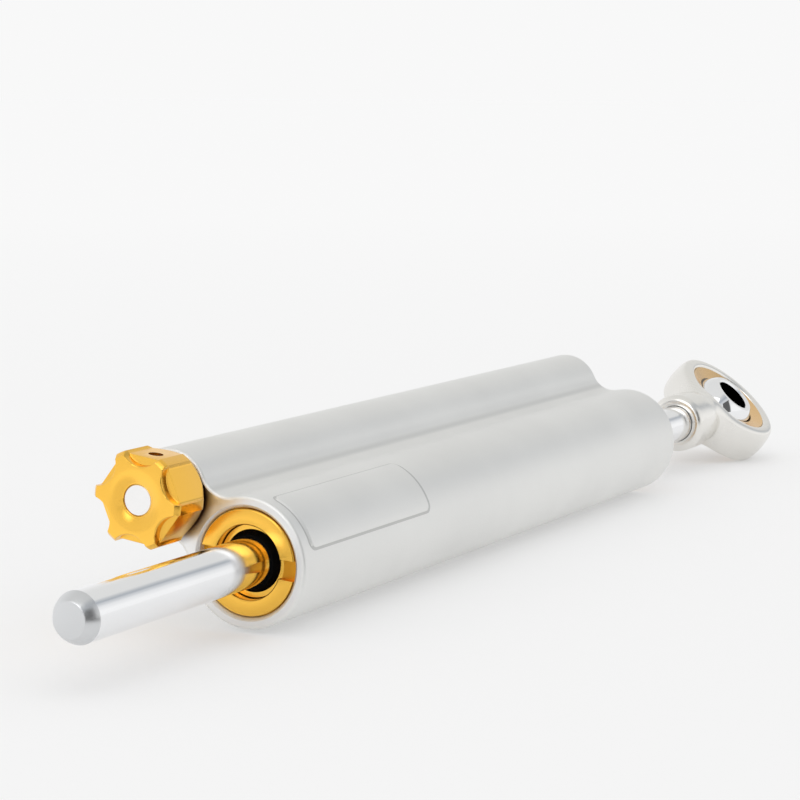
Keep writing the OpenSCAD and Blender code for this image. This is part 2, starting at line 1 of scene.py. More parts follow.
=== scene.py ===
"""Finished surfaces and studio for a linear motorcycle steering damper.

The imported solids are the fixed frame. The body, the gland nuts, the rod, the rod end's housing,
the knob and the compensator spring are modelled again; every other piece keeps its solid.
"""

import json
import math

import bmesh
import bpy
import numpy as np
from mathutils import Matrix, Vector


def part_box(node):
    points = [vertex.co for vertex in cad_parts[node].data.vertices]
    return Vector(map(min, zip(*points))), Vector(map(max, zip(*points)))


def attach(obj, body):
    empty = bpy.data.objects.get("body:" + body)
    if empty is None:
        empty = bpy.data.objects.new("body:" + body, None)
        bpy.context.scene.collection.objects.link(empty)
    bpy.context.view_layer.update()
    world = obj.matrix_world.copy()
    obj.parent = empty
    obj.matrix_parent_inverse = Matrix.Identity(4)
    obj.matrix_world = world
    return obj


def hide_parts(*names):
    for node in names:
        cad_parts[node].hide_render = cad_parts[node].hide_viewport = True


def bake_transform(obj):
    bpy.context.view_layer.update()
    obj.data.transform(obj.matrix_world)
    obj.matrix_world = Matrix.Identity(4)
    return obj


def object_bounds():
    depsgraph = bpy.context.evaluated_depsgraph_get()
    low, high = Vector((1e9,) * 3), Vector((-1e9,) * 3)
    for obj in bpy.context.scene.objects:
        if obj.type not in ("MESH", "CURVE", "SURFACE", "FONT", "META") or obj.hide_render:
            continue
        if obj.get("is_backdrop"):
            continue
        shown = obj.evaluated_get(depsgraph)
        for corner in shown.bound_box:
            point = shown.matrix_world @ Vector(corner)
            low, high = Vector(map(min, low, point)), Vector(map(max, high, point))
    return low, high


bl_info = {
    "name": "Steering Damper",
    "version": (1, 0, 0),
    "blender": (4, 5, 0),
    "location": "3D View > Sidebar > Damper",
    "description": "Builds the finished pieces of a linear steering damper and its studio",
    "category": "Object",
}

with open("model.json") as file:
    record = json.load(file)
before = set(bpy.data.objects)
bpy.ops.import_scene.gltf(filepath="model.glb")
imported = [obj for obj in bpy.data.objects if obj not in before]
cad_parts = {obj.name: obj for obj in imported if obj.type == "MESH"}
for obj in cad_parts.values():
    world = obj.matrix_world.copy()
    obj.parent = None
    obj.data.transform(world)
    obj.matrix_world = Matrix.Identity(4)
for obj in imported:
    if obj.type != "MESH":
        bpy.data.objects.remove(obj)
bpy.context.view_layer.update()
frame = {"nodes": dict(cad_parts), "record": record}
MM = 0.001
TAU = 2 * math.pi
QUARTER = math.pi / 2

# Counts: sides of a turned shape, lobes of the knob, turns of the spring
ROUND = 128
LOBES = 6
COILS = 9

# Fits: a sliding gap, the rod's depth in the shank, the neck's step inside the head
SLIP = 0.02 * MM
THREAD_LEN = 17 * MM
NECK_STEP = 0.6 * MM

# Finishes: relief of marks and grain, scale of the slow change of tone
RELIEF = 0.02 * MM
TONE_SCALE = 45.0

# The way that the overhead light shines
KEY_WAY = (0.30, 0.35, -1.0)


def length(name, description, millimetres):
    """A length property with its default in millimetres."""
    return bpy.props.FloatProperty(
        name=name,
        description=description,
        default=millimetres * MM,
        min=0.0,
        precision=5,
        subtype="DISTANCE",
        unit="LENGTH",
    )


def angle(name, description, degrees):
    """An angle property with its default in degrees."""
    return bpy.props.FloatProperty(
        name=name,
        description=description,
        default=math.radians(degrees),
        subtype="ANGLE",
        unit="ROTATION",
    )


def number(name, description, value, low=0.0, high=1000.0):
    """A plain number property with its limits."""
    return bpy.props.FloatProperty(name=name, description=description, default=value, min=low, max=high)


def colour(name, description, value):
    """A colour property."""
    return bpy.props.FloatVectorProperty(
        name=name,
        description=description,
        default=value,
        size=3,
        min=0.0,
        max=1.0,
        subtype="COLOR",
    )


class DamperBodySizes(bpy.types.PropertyGroup):
    """Sizes of the twin-tube body, its panel, its gland nuts and its spring."""

    body_len: length("Body length", "Length of the twin-tube body", 200)
    main_d: length("Main tube", "Outside diameter of the main tube", 27)
    side_d: length("Side tube", "Outside diameter of the side tube", 18)
    side_offset: length("Tube spacing", "Distance between the two tube axes", 22)
    blend_r: length("Blend radius", "Radius of the hollow between the tubes", 6)
    rim_r: length("Rim rounding", "Rounding around both end faces", 0.75)
    lay_angle: angle("Lay angle", "Tilt of the damper's plane about the rod", 36)
    panel_len: length("Panel length", "Length of the bare raised panel", 51.5)
    panel_w: length("Panel width", "Width of the raised panel", 13.5)
    panel_h: length("Panel height", "Height of the panel above the tube", 0.45)
    panel_x: length("Panel place", "Distance from the front face to the panel", 3.5)
    panel_mid: angle("Panel angle", "Middle of the panel around the main tube", 101)
    panel_corner: length("Panel corner", "Corner radius of the panel", 1.6)
    panel_slope: length("Panel slope", "Width of the soft slope around the panel", 1.0)
    # Painted shadow: the foot rings reach this far behind the panel's rear edge and carry the dark foot
    # finish as a shadow line
    panel_shade_strip: length("Panel strip", "Width of the dull strip behind the panel", 0.7)
    gland_d: length("Gland bore", "Bore that takes the gland nuts", 22.1)
    mouth: length("Bore chamfer", "Chamfer at the mouth of the gland bore", 0.6)
    nut_bore_d: length("Nut hole", "Hole through a gland nut", 15.2)
    nut_len: length("Nut length", "Length of a gland nut", 9)
    nut_recess: length("Nut recess", "Depth of the nut's face in the bore", 0.3)
    nut_edge: length("Nut bevel", "Bevel on the nut's front edges", 0.25)
    relief_w: length("Nut relief", "Width of the gap around the nut's front rim", 0.2)
    relief_len: length("Relief depth", "Depth of that gap", 1.5)
    slot_w: length("Slot width", "Width of the nut's spanner slots", 4)
    slot_depth: length("Slot depth", "Depth of the nut's spanner slots", 1.8)
    slot_angle: angle("Slot angle", "Turn of the spanner slots about the rod", -31)
    spring_wire: length("Spring wire", "Thickness of the compensator spring's wire", 1.4)


class DamperRodSizes(bpy.types.PropertyGroup):
    """Sizes of the through rod and the rod end's housing, along x from the body's front face."""

    rod_d: length("Rod", "Diameter of the through rod", 10)
    rod_front: length("Rod in front", "Rod that shows in front of the body", 61)
    tip_d: length("Rod tip", "Diameter of the flat on the rod's tip", 6.9)
    tip_len: length("Tip chamfer", "Length of the chamfer on the rod's tip", 2.7)
    tip_bulge: length("Tip bulge", "Bulge of that chamfer", 0.14)
    rod_end_x: length("Rear end", "Place of the rod's rear end, inside the shank", 251.2)
    groove_front: length("Front groove", "Place of the piston's front clip", 81.3)
    groove_rear: length("Rear groove", "Place of the piston's rear clip", 98.5)
    groove_w: length("Groove width", "Width of a clip's groove", 1.2)
    groove_depth: length("Groove depth", "Depth of a clip's groove", 0.6)
    shank_x: length("Shank place", "Start of the rod end's shank", 235)
    shank_d: length("Shank", "Diameter of the rod end's shank", 16)
    shank_edge: length("Shank chamfer", "Chamfer on the shank's end", 1.2)
    shank_plain: length("Plain shank", "Length of the shank before it tapers", 12)
    eye_x: length("Eye place", "Centre of the rod end's eye", 269.5)
    head_d: length("Head", "Diameter of the rod end's head at its middle", 33.6)
    head_w: length("Head width", "Width of the head between its faces", 11.5)
    crown_r: length("Crown", "Radius of the head's barrel curve", 19)
    head_turn: angle("Head turn", "Turn of the rod end out of the plane of the tubes", 4.5)
    race_d: length("Race seat", "Diameter of the race's seat", 25.2)
    lead_h: length("Seat bevel depth", "Depth of the bevel at the seat's mouth", 0.6)
    lead_w: length("Seat bevel width", "Width of the bevel at the seat's mouth", 0.5)
    fillet: length("Neck fillet", "Fillet between the shank and the head", 4.5)
    ball_turn: angle("Ball turn", "Turn of the ball out of the plane of the tubes", 9)
    ball_bore_d: length("Ball bore", "Bore through the ball", 10)


class DamperKnobSizes(bpy.types.PropertyGroup):
    """Sizes of the adjuster knob."""

    knob_d: length("Knob", "Diameter across the knob's lobes", 20.2)
    core_d: length("Flats", "Distance across the flats behind the ledge", 17.4)
    front: length("Front", "Distance from the body to the knob's front", 12.4)
    gap: length("Gap", "Gap between the knob and the body", 0.5)
    ledge: length("Ledge", "Depth of the ledge behind the scallops", 1.9)
    taper: length("Taper", "Length of the taper at the back of the lobes", 2.4)
    rim_d: length("Back rim", "Diameter of the knob's back rim", 17.2)
    edge_r: length("Edge rounding", "Rounding of the scallops' front edges", 0.35)
    scallop_r: length("Scallop", "Radius of the scallop between two lobes", 4.9)
    scallop_depth: length("Scallop depth", "Depth of the scallops", 3.1)
    lobe_angle: angle("Lobe angle", "Turn of the first lobe", 32)
    bevel: length("Lobe bevel", "Bevel on the front of the lobes", 0.9)
    hole_d: length("Spindle hole", "Hole for the spindle", 6.44)
    dish_d: length("Dish", "Diameter of the shallow dish in the front", 12.8)
    dish_depth: length("Dish depth", "Depth of the dish around the spindle", 0.85)
    screw_x: length("Screw place", "Distance from the body to the knob's screw", 6.4)
    screw_d: length("Screw hole", "Hole for the knob's screw", 3.04)


class DamperFinishes(bpy.types.PropertyGroup):
    """Colours of the finishes."""

    silver: colour("Silver", "Satin anodised body", (0.845, 0.845, 0.83))
    # Painted shade: a darker silver for the panel's foot and, half mixed in, for the bottoms of the hollows
    # between the tubes
    crease: colour("Crease", "Body at the panel's foot and in the hollows", (0.62, 0.62, 0.61))
    face: colour("Machined face", "Bare machined end faces", (0.82, 0.82, 0.815))
    # Painted shade: dark colour on the front end face close under the knob, in place of the knob's shade and
    # dark reflection there
    shade: colour("Shade", "Stained end face close under the knob", (0.06, 0.025, 0.015))
    gold: colour("Gold", "Gold anodised nuts and knob", (0.96, 0.54, 0.065))
    gold_slot: colour("Gold in slots", "Milled slots of the nuts", (0.70, 0.31, 0.025))
    tip: colour("Rod tip", "Turned flat and chamfer of the rod's tip", (0.68, 0.69, 0.70))
    chrome: colour("Chrome", "Hard chrome of the rod and the ball", (0.90, 0.905, 0.915))
    nickel: colour("Nickel", "Satin nickel of the rod end", (0.85, 0.835, 0.80))
    brass: colour("Brass", "Race of the rod end", (0.86, 0.58, 0.29))
    pale_steel: colour("Pale steel", "Ground end of the spindle", (0.88, 0.875, 0.87))
    alloy: colour("Plain alloy", "Turned alloy pieces", (0.52, 0.52, 0.54))
    dark_steel: colour("Dark steel", "Small steel pieces", (0.10, 0.10, 0.11))
    bronze: colour("Bronze", "Guide bushes and valve sleeve", (0.42, 0.29, 0.13))
    # Painted shade: near-black inside the ball's bore, in place of the shade in the deep hole
    bore: colour("Bare bore", "Unplated bore of the ball", (0.035, 0.022, 0.018))
    rubber: colour("Rubber", "Wipers, seals and rings", (0.003, 0.003, 0.003))
    plastic: colour("Slide plastic", "Sliding bands and liner", (0.09, 0.075, 0.055))


class DamperStudio(bpy.types.PropertyGroup):
    """Camera and light."""

    lens: number("Lens", "Focal length of the camera in millimetres", 113.186, 1.0)
    place: bpy.props.FloatVectorProperty(
        name="Camera",
        description="Place of the camera",
        default=(-0.52208, -0.25211, 0.09339),
        size=3,
        precision=5,
        subtype="XYZ",
        unit="LENGTH",
    )
    yaw: angle("Yaw", "Turn of the camera from +X towards +Y", math.degrees(0.4761))
    pitch: angle("Pitch", "Downward tilt of the camera", math.degrees(0.1233))
    key: number("Key light", "Strength of the soft light overhead", 0.40)
    key_spread: angle("Key spread", "Width of the soft light overhead", 70)
    ambient: number("Ambient", "Strength of the world on plain surfaces", 0.90)
    white: colour("Backdrop", "White behind the damper, seen and mirrored", (0.94, 0.94, 0.94))
    strip: colour("Strip", "Bright strip low beside the damper, in mirrors only", (1.0, 1.0, 1.0))
    shade: colour("Shade", "Bluish gap above the strip, in mirrors only", (0.43, 0.46, 0.50))
    veil: colour("Veil", "Pale veil overhead, in mirrors only", (0.79, 0.79, 0.78))
    floor: colour("Floor", "Colour of the floor near the damper", (0.90, 0.90, 0.90))
    far_floor: colour("Far floor", "Colour of the floor far away", (0.926, 0.926, 0.926))
    shadow_lift: number("Shadow lift", "Share of the shadow lifted where the floor is seen", 0.33, high=1.0)
    dark_card: number("Dark card", "Brightness of the dark card on the right, in mirrors only", 0.12)
    side_card: number("Side card", "Brightness of the card on the left, in mirrors only", 1.15)
    light_card: number("Light card", "Brightness of the card above the camera, in mirrors only", 2.0)


def sizes():
    """The property groups with the sizes of the body, the rod and the knob."""
    scene = bpy.context.scene
    return scene.damper_body, scene.damper_rod, scene.damper_knob


def lay_matrix():
    """From the damper's own plane, x from the front face, to the row frame."""
    body = bpy.context.scene.damper_body
    return Matrix.Rotation(body.lay_angle, 4, "X") @ Matrix.Translation((-body.body_len / 2, 0, 0))


def arc(centre, radius, start, end, steps, last=False):
    """Points on an arc, with or without its last one."""
    points = []
    for k in range(steps + last):
        a = start + (end - start) / steps * k
        points.append((centre[0] + radius * math.cos(a), centre[1] + radius * math.sin(a)))
    return points


def circle(x, radius, y=0.0):
    """Points of a circle across x."""
    return [(x, *p) for p in arc((y, 0), radius, 0, TAU, ROUND)]


def rounded(corners, steps=5):
    """An outline from (x, r, fillet) corners, each fillet drawn as an arc."""
    outline = []
    for k, (x, r, fillet) in enumerate(corners):
        here = Vector((x, r))
        if fillet <= 0 or k in (0, len(corners) - 1):
            outline.append(here)
            continue
        before = (Vector(corners[k - 1][:2]) - here).normalized()
        after = (Vector(corners[k + 1][:2]) - here).normalized()
        half = before.angle(after) / 2
        reach = fillet / math.tan(half)
        middle = here + (before + after).normalized() * (fillet / math.sin(half))
        first, last = here + before * reach - middle, here + after * reach - middle
        sweep = first.angle_signed(last)
        for s in range(steps + 1):
            outline.append(middle + Matrix.Rotation(-sweep * s / steps, 2) @ first)
    return outline


def loft(bm, rings):
    """Extrudes a closed loop from ring to ring and returns the first and last loop's edges."""
    verts = [bm.verts.new(p) for p in rings[0]]
    first = edges = [bm.edges.new((verts[k - 1], verts[k])) for k in range(len(verts))]
    order = {v: k for k, v in enumerate(verts)}
    for ring in rings[1:]:
        made = bmesh.ops.extrude_edge_only(bm, edges=edges)["geom"]
        fresh = {}
        for v in made:
            if isinstance(v, bmesh.types.BMVert):
                fresh[v] = next(order[e.other_vert(v)] for e in v.link_edges if e.other_vert(v) in order)
                v.co = ring[fresh[v]]
        edges = [e for e in made if isinstance(e, bmesh.types.BMEdge) and all(v in fresh for v in e.verts)]
        order = fresh
    return first, edges


def turn(bm, outline, closed=False, steps=ROUND):
    """Spins an (x, r) outline about x."""
    verts = [bm.verts.new((p[0], p[1], 0)) for p in outline]
    edges = [bm.edges.new(pair) for pair in zip(verts, verts[1:])]
    if closed:
        edges.append(bm.edges.new((verts[-1], verts[0])))
    bmesh.ops.spin(
        bm, geom=verts + edges, axis=(1, 0, 0), cent=(0, 0, 0), angle=TAU, steps=steps, use_merge=True
    )


def slice_at(bm, place, normal):
    """Cuts all faces along a plane and keeps both sides."""
    bmesh.ops.bisect_plane(
        bm, geom=bm.verts[:] + bm.edges[:] + bm.faces[:], plane_co=place, plane_no=normal
    )


def tidy(bm):
    """Closes seams and poles and turns the faces outwards."""
    bmesh.ops.remove_doubles(bm, verts=bm.verts, dist=1e-7)
    bmesh.ops.dissolve_degenerate(bm, edges=bm.edges, dist=1e-8)
    loose = [v for v in bm.verts if not v.link_faces]
    bmesh.ops.delete(bm, geom=loose, context="VERTS")
    bmesh.ops.recalc_face_normals(bm, faces=bm.faces)


def mesh_from(name, bm):
    """A mesh made from a bmesh, which is freed."""
    mesh = bpy.data.meshes.new(name)
    bm.to_mesh(mesh)
    bm.free()
    return mesh


def linked(name, data):
    """An object linked to the scene."""
    obj = bpy.data.objects.new(name, data)
    bpy.context.scene.collection.objects.link(obj)
    return obj


def smooth(mesh, sharp):
    """Shades a mesh smooth, and sharp where it turns by more than some degrees."""
    mesh.shade_smooth()
    mesh.set_sharp_from_angle(angle=math.radians(sharp))


def piece(name, bm, body, materials, node, matrix, sharp=35):
    """Makes the finished object from a bmesh drawn in the damper's own plane."""
    bmesh.ops.transform(bm, matrix=matrix, verts=bm.verts)
    tidy(bm)
    return finish_object(name, mesh_from(name, bm), body, materials, node, sharp)


def finish_object(name, mesh, body, materials, node, sharp):
    """Links a mesh as a finished piece that stands for a node and rides a body, if one is named."""
    smooth(mesh, sharp)
    obj = linked(name, mesh)
    for material in materials:
        mesh.materials.append(bpy.data.materials[material])
    if body:
        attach(obj, body)
    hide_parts(node)
    return obj


def add_boolean(obj, other, operation):
    """Welds another object to this one, or cuts it away, by a modifier."""
    made = obj.modifiers.new(other.name, "BOOLEAN")
    made.operation = operation
    made.solver = "EXACT"
    made.object = other


def applied(obj):
    """A mesh with the object's modifiers applied."""
    depsgraph = bpy.context.evaluated_depsgraph_get()
    return bpy.data.meshes.new_from_object(obj.evaluated_get(depsgraph))


class Graph:
    """Adds and links the nodes of one tree."""

    def __init__(self, tree):
        self.tree = tree
        self.tree.nodes.clear()

    def add(self, kind, inputs=None, **settings):
        """A node with its settings; an input is a value or another node's socket."""
        made = self.tree.nodes.new(kind)
        for key, value in settings.items():
            setattr(made, key, value)
        for key, value in (inputs or {}).items():
            self.put(made.inputs[key], value)
        return made

    def put(self, socket, value):
        """Sets a socket or links it."""
        if isinstance(value, bpy.types.NodeSocket):
            self.tree.links.new(value, socket)
        else:
            socket.default_value = value

    def math(self, operation, *values):
        """A math node's result."""
        return self.add("ShaderNodeMath", dict(enumerate(values)), operation=operation).outputs[0]

    def span(self, value, start, end, low=0.0, high=1.0, kind="LINEAR"):
        """A value mapped from one range to another."""
        ranges = {"Value": value, "From Min": start, "From Max": end, "To Min": low, "To Max": high}
        return self.add("ShaderNodeMapRange", ranges, interpolation_type=kind).outputs[0]

    def blend(self, factor, first, second):
        """A colour between two others."""
        mix = self.add("ShaderNodeMix", data_type="RGBA")
        for key, value in (("Factor", factor), ("A", first), ("B", second)):
            self.put(mix.inputs[key], value)
        return mix.outputs["Result"]

    def shader_mix(self, factor, first, second):
        """A shader between two others."""
        return self.add("ShaderNodeMixShader", {0: factor, 1: first, 2: second}).outputs[0]

    def rays(self):
        """Two switches: one for rays from mirrors and glass, one for those and the camera's."""
        path = self.add("ShaderNodeLightPath").outputs
        mirrored = self.math("MAXIMUM", path["Is Glossy Ray"], path["Is Transmission Ray"])
        return mirrored, self.math("MAXIMUM", path["Is Camera Ray"], mirrored)


class Finish(Graph):
    """The nodes of one material."""

    def __init__(self, name):
        self.material = bpy.data.materials.new(name)
        self.material.use_nodes = True
        super().__init__(self.material.node_tree)
        self.shader = self.add("ShaderNodeBsdfPrincipled")
        self.output = self.add("ShaderNodeOutputMaterial", {"Surface": self.shader.outputs[0]})

    def fill(self, values):
        """Sets or links the shader's own sockets."""
        for key, value in values.items():
            self.put(self.shader.inputs[key], value)

    def place(self, location=(0, 0, 0), rotation=(0, 0, 0)):
        """Object coordinates about a point, turned with a piece's axis."""
        coordinates = self.add("ShaderNodeTexCoord")
        return self.add(
            "ShaderNodeMapping",
            {"Vector": coordinates.outputs["Object"], "Location": location, "Rotation": rotation},
            vector_type="TEXTURE",
        ).outputs[0]

    def noise(self, vector, scale, detail=2.0):
        """A noise value."""
        inputs = {"Vector": vector, "Scale": scale, "Detail": detail}
        return self.add("ShaderNodeTexNoise", inputs).outputs["Fac"]

    def radius(self, vector):
        """The place along the x axis of the coordinates and the distance from it."""
        parts = self.add("ShaderNodeSeparateXYZ", {"Vector": vector}).outputs
        square = self.math("ADD", self.math("POWER", parts[1], 2.0), self.math("POWER", parts[2], 2.0))
        return parts[0], self.math("SQRT", square)

    def rings(self, vector, per_metre):
        """Irregular turning marks about the x axis of the coordinates."""
        along = self.math("MULTIPLY", self.math("ADD", *self.radius(vector)), per_metre)
        inputs = {"W": along, "Scale": 1.0, "Detail": 2.0}
        return self.add("ShaderNodeTexNoise", inputs, noise_dimensions="1D").outputs["Fac"]

    def spread(self, value, low, high):
        """A range that follows the middle of a noise."""
        return self.span(value, 0.3, 0.7, low, high)

    def tint(self, value, base, low, high):
        """The base colour, varied between two shares of itself."""
        shares = [(*[min(1.0, c * share) for c in base], 1.0) for share in (low, high)]
        return self.blend(value, *shares)

    def bump(self, height, strength):
        """A bumped normal."""
        inputs = {"Height": height, "Strength": strength, "Distance": RELIEF}
        return self.add("ShaderNodeBump", inputs).outputs[0]


def metal(name, base, roughness, place, marks=(0.0, 2600), grain=(0.0, 2500), coat=0.0, bore=None,
          painted_shades=()):
    """A metal finish: turning marks, grain, a slow change of tone, a bore painted dark as shade and painted
    shade near given lines.

    Roughness is its middle and spread; marks and grain are each a height and a scale.
    """
    graph = Finish(name)
    vector = graph.place(*place)
    slow = graph.noise(vector, TONE_SCALE)
    fine = graph.noise(vector, grain[1], 3.0)
    lines = graph.rings(vector, marks[1])
    skin = graph.tint(slow, base, 0.94, 1.04)
    # Painted shade: inside the bore's radius the skin turns to the dark bore colour
    if bore:
        bore_r, bare = bore
        inside = graph.math("LESS_THAN", graph.radius(vector)[1], bore_r)
        skin = graph.blend(inside, skin, (*bare, 1.0))
    # Painted shade: near each given line the skin blends to a dark colour
    for line, inner, outer, until, dark in painted_shades:
        along, reach = graph.radius(graph.place(*line))
        share = graph.span(reach, inner, outer, kind="SMOOTHSTEP")
        share = graph.math("MAXIMUM", share, graph.math("GREATER_THAN", along, until))
        skin = graph.blend(share, (*dark, 1.0), skin)
    uneven = graph.math("ADD", graph.math("MULTIPLY", fine, 0.6), graph.math("MULTIPLY", slow, 0.4))
    cut, rough = graph.math("MULTIPLY", lines, marks[0]), graph.math("MULTIPLY", fine, grain[0])
    middle, wander = roughness
    graph.fill({
        "Base Color": skin,
        "Metallic": 1.0,
        "Roughness": graph.spread(uneven, middle - wander, middle + wander),
        "Coat Weight": coat,
        "Coat Roughness": 0.15,
        "Coat IOR": 1.75,
        "Normal": graph.bump(graph.math("ADD", cut, rough), 1.0),
    })


def soft_material(name, base, roughness, grain, gloss):
    """Rubber or plastic with a fine uneven skin."""
    graph = Finish(name)
    wander = 0.08
    fine = graph.noise(graph.place(), 3500.0, 3.0)
    graph.fill({
        "Base Color": graph.tint(fine, base, 0.7, 1.4),
        "Roughness": graph.spread(fine, roughness - wander, roughness + wander),
        "Specular IOR Level": gloss,
        "Normal": graph.bump(fine, grain),
    })


def hollow_centre(body):
    """The centre of the hollow between the tubes, across the body."""
    to_main, to_side = body.main_d / 2 + body.blend_r, body.side_d / 2 + body.blend_r
    y = (to_main**2 - to_side**2 + body.side_offset**2) / (2 * body.side_offset)
    return y, math.sqrt(to_main**2 - y**2)


class DAMPER_OT_finishes(bpy.types.Operator):
    """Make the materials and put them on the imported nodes"""

    bl_idname = "damper.finishes"
    bl_label = "Finishes"

    def execute(self, context):
        body, rod, _knob = sizes()
        tone = context.scene.damper_finishes
        lay, off = body.lay_angle, body.side_offset
        main = ((0, 0, 0), (lay, 0, 0))
        side = ((0, off * math.cos(lay), off * math.sin(lay)), (lay, 0, 0))
        eye_centre = (rod.eye_x - body.body_len / 2, 0, 0)
        eye = (eye_centre, (0, lay + rod.head_turn - QUARTER, -QUARTER))
        ball = (eye_centre, (0, lay + rod.ball_turn - QUARTER, -QUARTER))
        bore_shade_margin, painted_crease_w, painted_shade_in, painted_shade_out = 0.05 * MM, 1.3 * MM, 8.2 * MM, 11.4 * MM
        # Painted shade: the ball is dark out to just past its bore's wall
        painted_bore_shade = (rod.ball_bore_d / 2 + bore_shade_margin, tone.bore)
        # Painted shade: a darker line along the bottom of each hollow between the tubes
        painted_crease_tone = Vector(tone.silver).lerp(tone.crease, 0.5)
        y, z = hollow_centre(body)
        hollows = []
        for height in (z - body.blend_r, body.blend_r - z):
            bottom = Matrix.Rotation(lay, 3, "X") @ Vector((0, y, height))
            hollows.append(((bottom, (lay, 0, 0)), 0.0, painted_crease_w, body.body_len, painted_crease_tone))
        # Painted shade: the front end face darkens towards the knob's axis, in place of the knob's shade and
        # dark reflection
        painted_shade_under_knob = (side, painted_shade_in, painted_shade_out, 0.0, tone.shade)
        metal("satin_silver", tone.silver, (0.56, 0.05), main, (0.15, 900), (1.0, 2600), painted_shades=hollows)
        metal("panel_foot", tone.crease, (0.56, 0.05), main)
        metal("machined_face", tone.face, (0.36, 0.04), main, (0.3, 1600), (0.1, 2500), painted_shades=[painted_shade_under_knob])
        metal("gold_nut", tone.gold, (0.24, 0.02), main, (0.10, 1200), coat=0.3)
        metal("gold_knob", tone.gold, (0.25, 0.02), side, (0.05, 1000), coat=0.3)
        metal("gold_slot", tone.gold_slot, (0.36, 0.04), main, (0.10, 1200))
        metal("hard_chrome", tone.chrome, (0.12, 0.03), main, (0.12, 3600))
        metal("turned_tip", tone.tip, (0.30, 0.04), main, (0.3, 1800))
        metal("satin_nickel", tone.nickel, (0.25, 0.04), eye, (0.05, 1500), (0.10, 1600))
        metal("turned_brass", tone.brass, (0.26, 0.05), eye, (0.6, 2600), (0.2, 2500))
        metal("polished_ball", tone.chrome, (0.06, 0.02), ball, (0.05, 2600), bore=painted_bore_shade)
        metal("ground_steel", tone.pale_steel, (0.36, 0.05), side, (0.6, 3600), (0.3, 2500))
        metal("turned_alloy", tone.alloy, (0.32, 0.06), side, (0.6, 2400), (0.3, 2500))
        metal("dark_steel", tone.dark_steel, (0.34, 0.06), side, (0.3, 2400), (0.5, 2500))
        metal("bush_bronze", tone.bronze, (0.34, 0.06), main, (0.5, 2400), (0.3, 2500))
        soft_material("seal_rubber", tone.rubber, roughness=0.65, grain=0.6, gloss=0.03)
        soft_material("band_plastic", tone.plastic, roughness=0.45, grain=0.4, gloss=0.5)
        slots = {
            "body_silver": "satin_silver", "gold_anodised": "gold_nut", "alloy_plain": "turned_alloy",
            "spindle_steel": "ground_steel", "rod_chrome": "hard_chrome", "rod_end_nickel": "satin_nickel",
            "race_brass": "turned_brass", "ball_chrome": "polished_ball", "small_steel": "dark_steel",
            "bronze": "bush_bronze", "black_rubber": "seal_rubber", "slide_plastic": "band_plastic",
        }
        for row in frame["record"]["subparts"]:
            for holder in frame["nodes"][row["node"]].material_slots:
                holder.material = bpy.data.materials[slots[row["material_slot"]]]
        return {"FINISHED"}


def tube_section(body, inset, x):
    """The twin-tube outline, drawn in by an inset, as a loop across x."""
    main_steps, side_steps, hollow_steps = 132, 84, 18
    main_r, side_r, hollow_r = body.main_d / 2 - inset, body.side_d / 2 - inset, body.blend_r + inset
    y, z = hollow_centre(body)
    start = math.atan2(z, y)
    near_main, near_side = math.atan2(z, -y), math.atan2(z, body.side_offset - y)
    side = math.pi - near_side
    outline = arc((0, 0), main_r, start, TAU - start, main_steps)
    outline += arc((y, -z), hollow_r, near_main, near_side, hollow_steps)
    outline += arc((body.side_offset, 0), side_r, -side, side, side_steps)
    outline += arc((y, z), hollow_r, -near_side, -near_main, hollow_steps)
    return [(x, *p) for p in outline]


def end_face(bm, edges):
    """Fills an end face around its two bores, with the machined finish."""
    made = bmesh.ops.triangle_fill(bm, use_beauty=True, edges=edges)
    for face in made["geom"]:
        if isinstance(face, bmesh.types.BMFace):
            face.material_index = 1


def panel_ring(body, side, height, strip):
    """A loop around the flat panel, out from its edge by a share of the slope."""
    corner_steps = 8
    grow = side * body.panel_slope
    corner = body.panel_corner + grow
    half_x, half_y = body.panel_len / 2 + grow - corner, body.panel_w / 2 + grow - corner
    ring = []
    for k, (sx, sy) in enumerate(((1, 1), (-1, 1), (-1, -1), (1, -1))):
        centre = (sx * half_x + max(sx, 0) * strip, sy * half_y)
        ring += arc(centre, corner, k * QUARTER, (k + 1) * QUARTER, corner_steps, last=True)
    return [(*p, height * body.panel_h) for p in ring]


def raised_panel(body):
    """The bare raised panel, drawn flat and then wrapped round the main tube."""
    bm = bmesh.new()
    main_r, half_len = body.main_d / 2, body.panel_len / 2
    slope_steps, cuts, cut_w = 10, 36, 1.04 * body.panel_w
    sunk, foot = -0.6, 0.02
    rings = [panel_ring(body, 0.5, height, body.panel_shade_strip) for height in (sunk, foot)]
    for k in range(slope_steps + 1):
        share = k / slope_steps
        height = foot + (1 - foot) * share**2 * (3 - 2 * share)
        rings.append(panel_ring(body, 0.5 - share, height, 0.0))
    for edges in loft(bm, rings):
        bmesh.ops.edgeloop_fill(bm, edges=edges)
    for k in range(1, cuts):
        slice_at(bm, (0, cut_w * (k / cuts - 0.5), 0), (0, 1, 0))
    # Painted shadow: faces low on the panel's slope and in its strip take the darker foot finish, lower at
    # the front edge
    front_edge, shade_front, shade_rest = 0.3 * MM - half_len, 0.2, 0.6
    for f in bm.faces:
        c = f.calc_center_median()
        if c.z < body.panel_h * (shade_front if c.x < front_edge else shade_rest):
            f.material_index = 2
    for v in bm.verts:
        turned, reach = body.panel_mid + v.co.y / main_r, main_r + v.co.z
        v.co = (v.co.x + body.panel_x + half_len, reach * math.cos(turned), reach * math.sin(turned))
    return bm


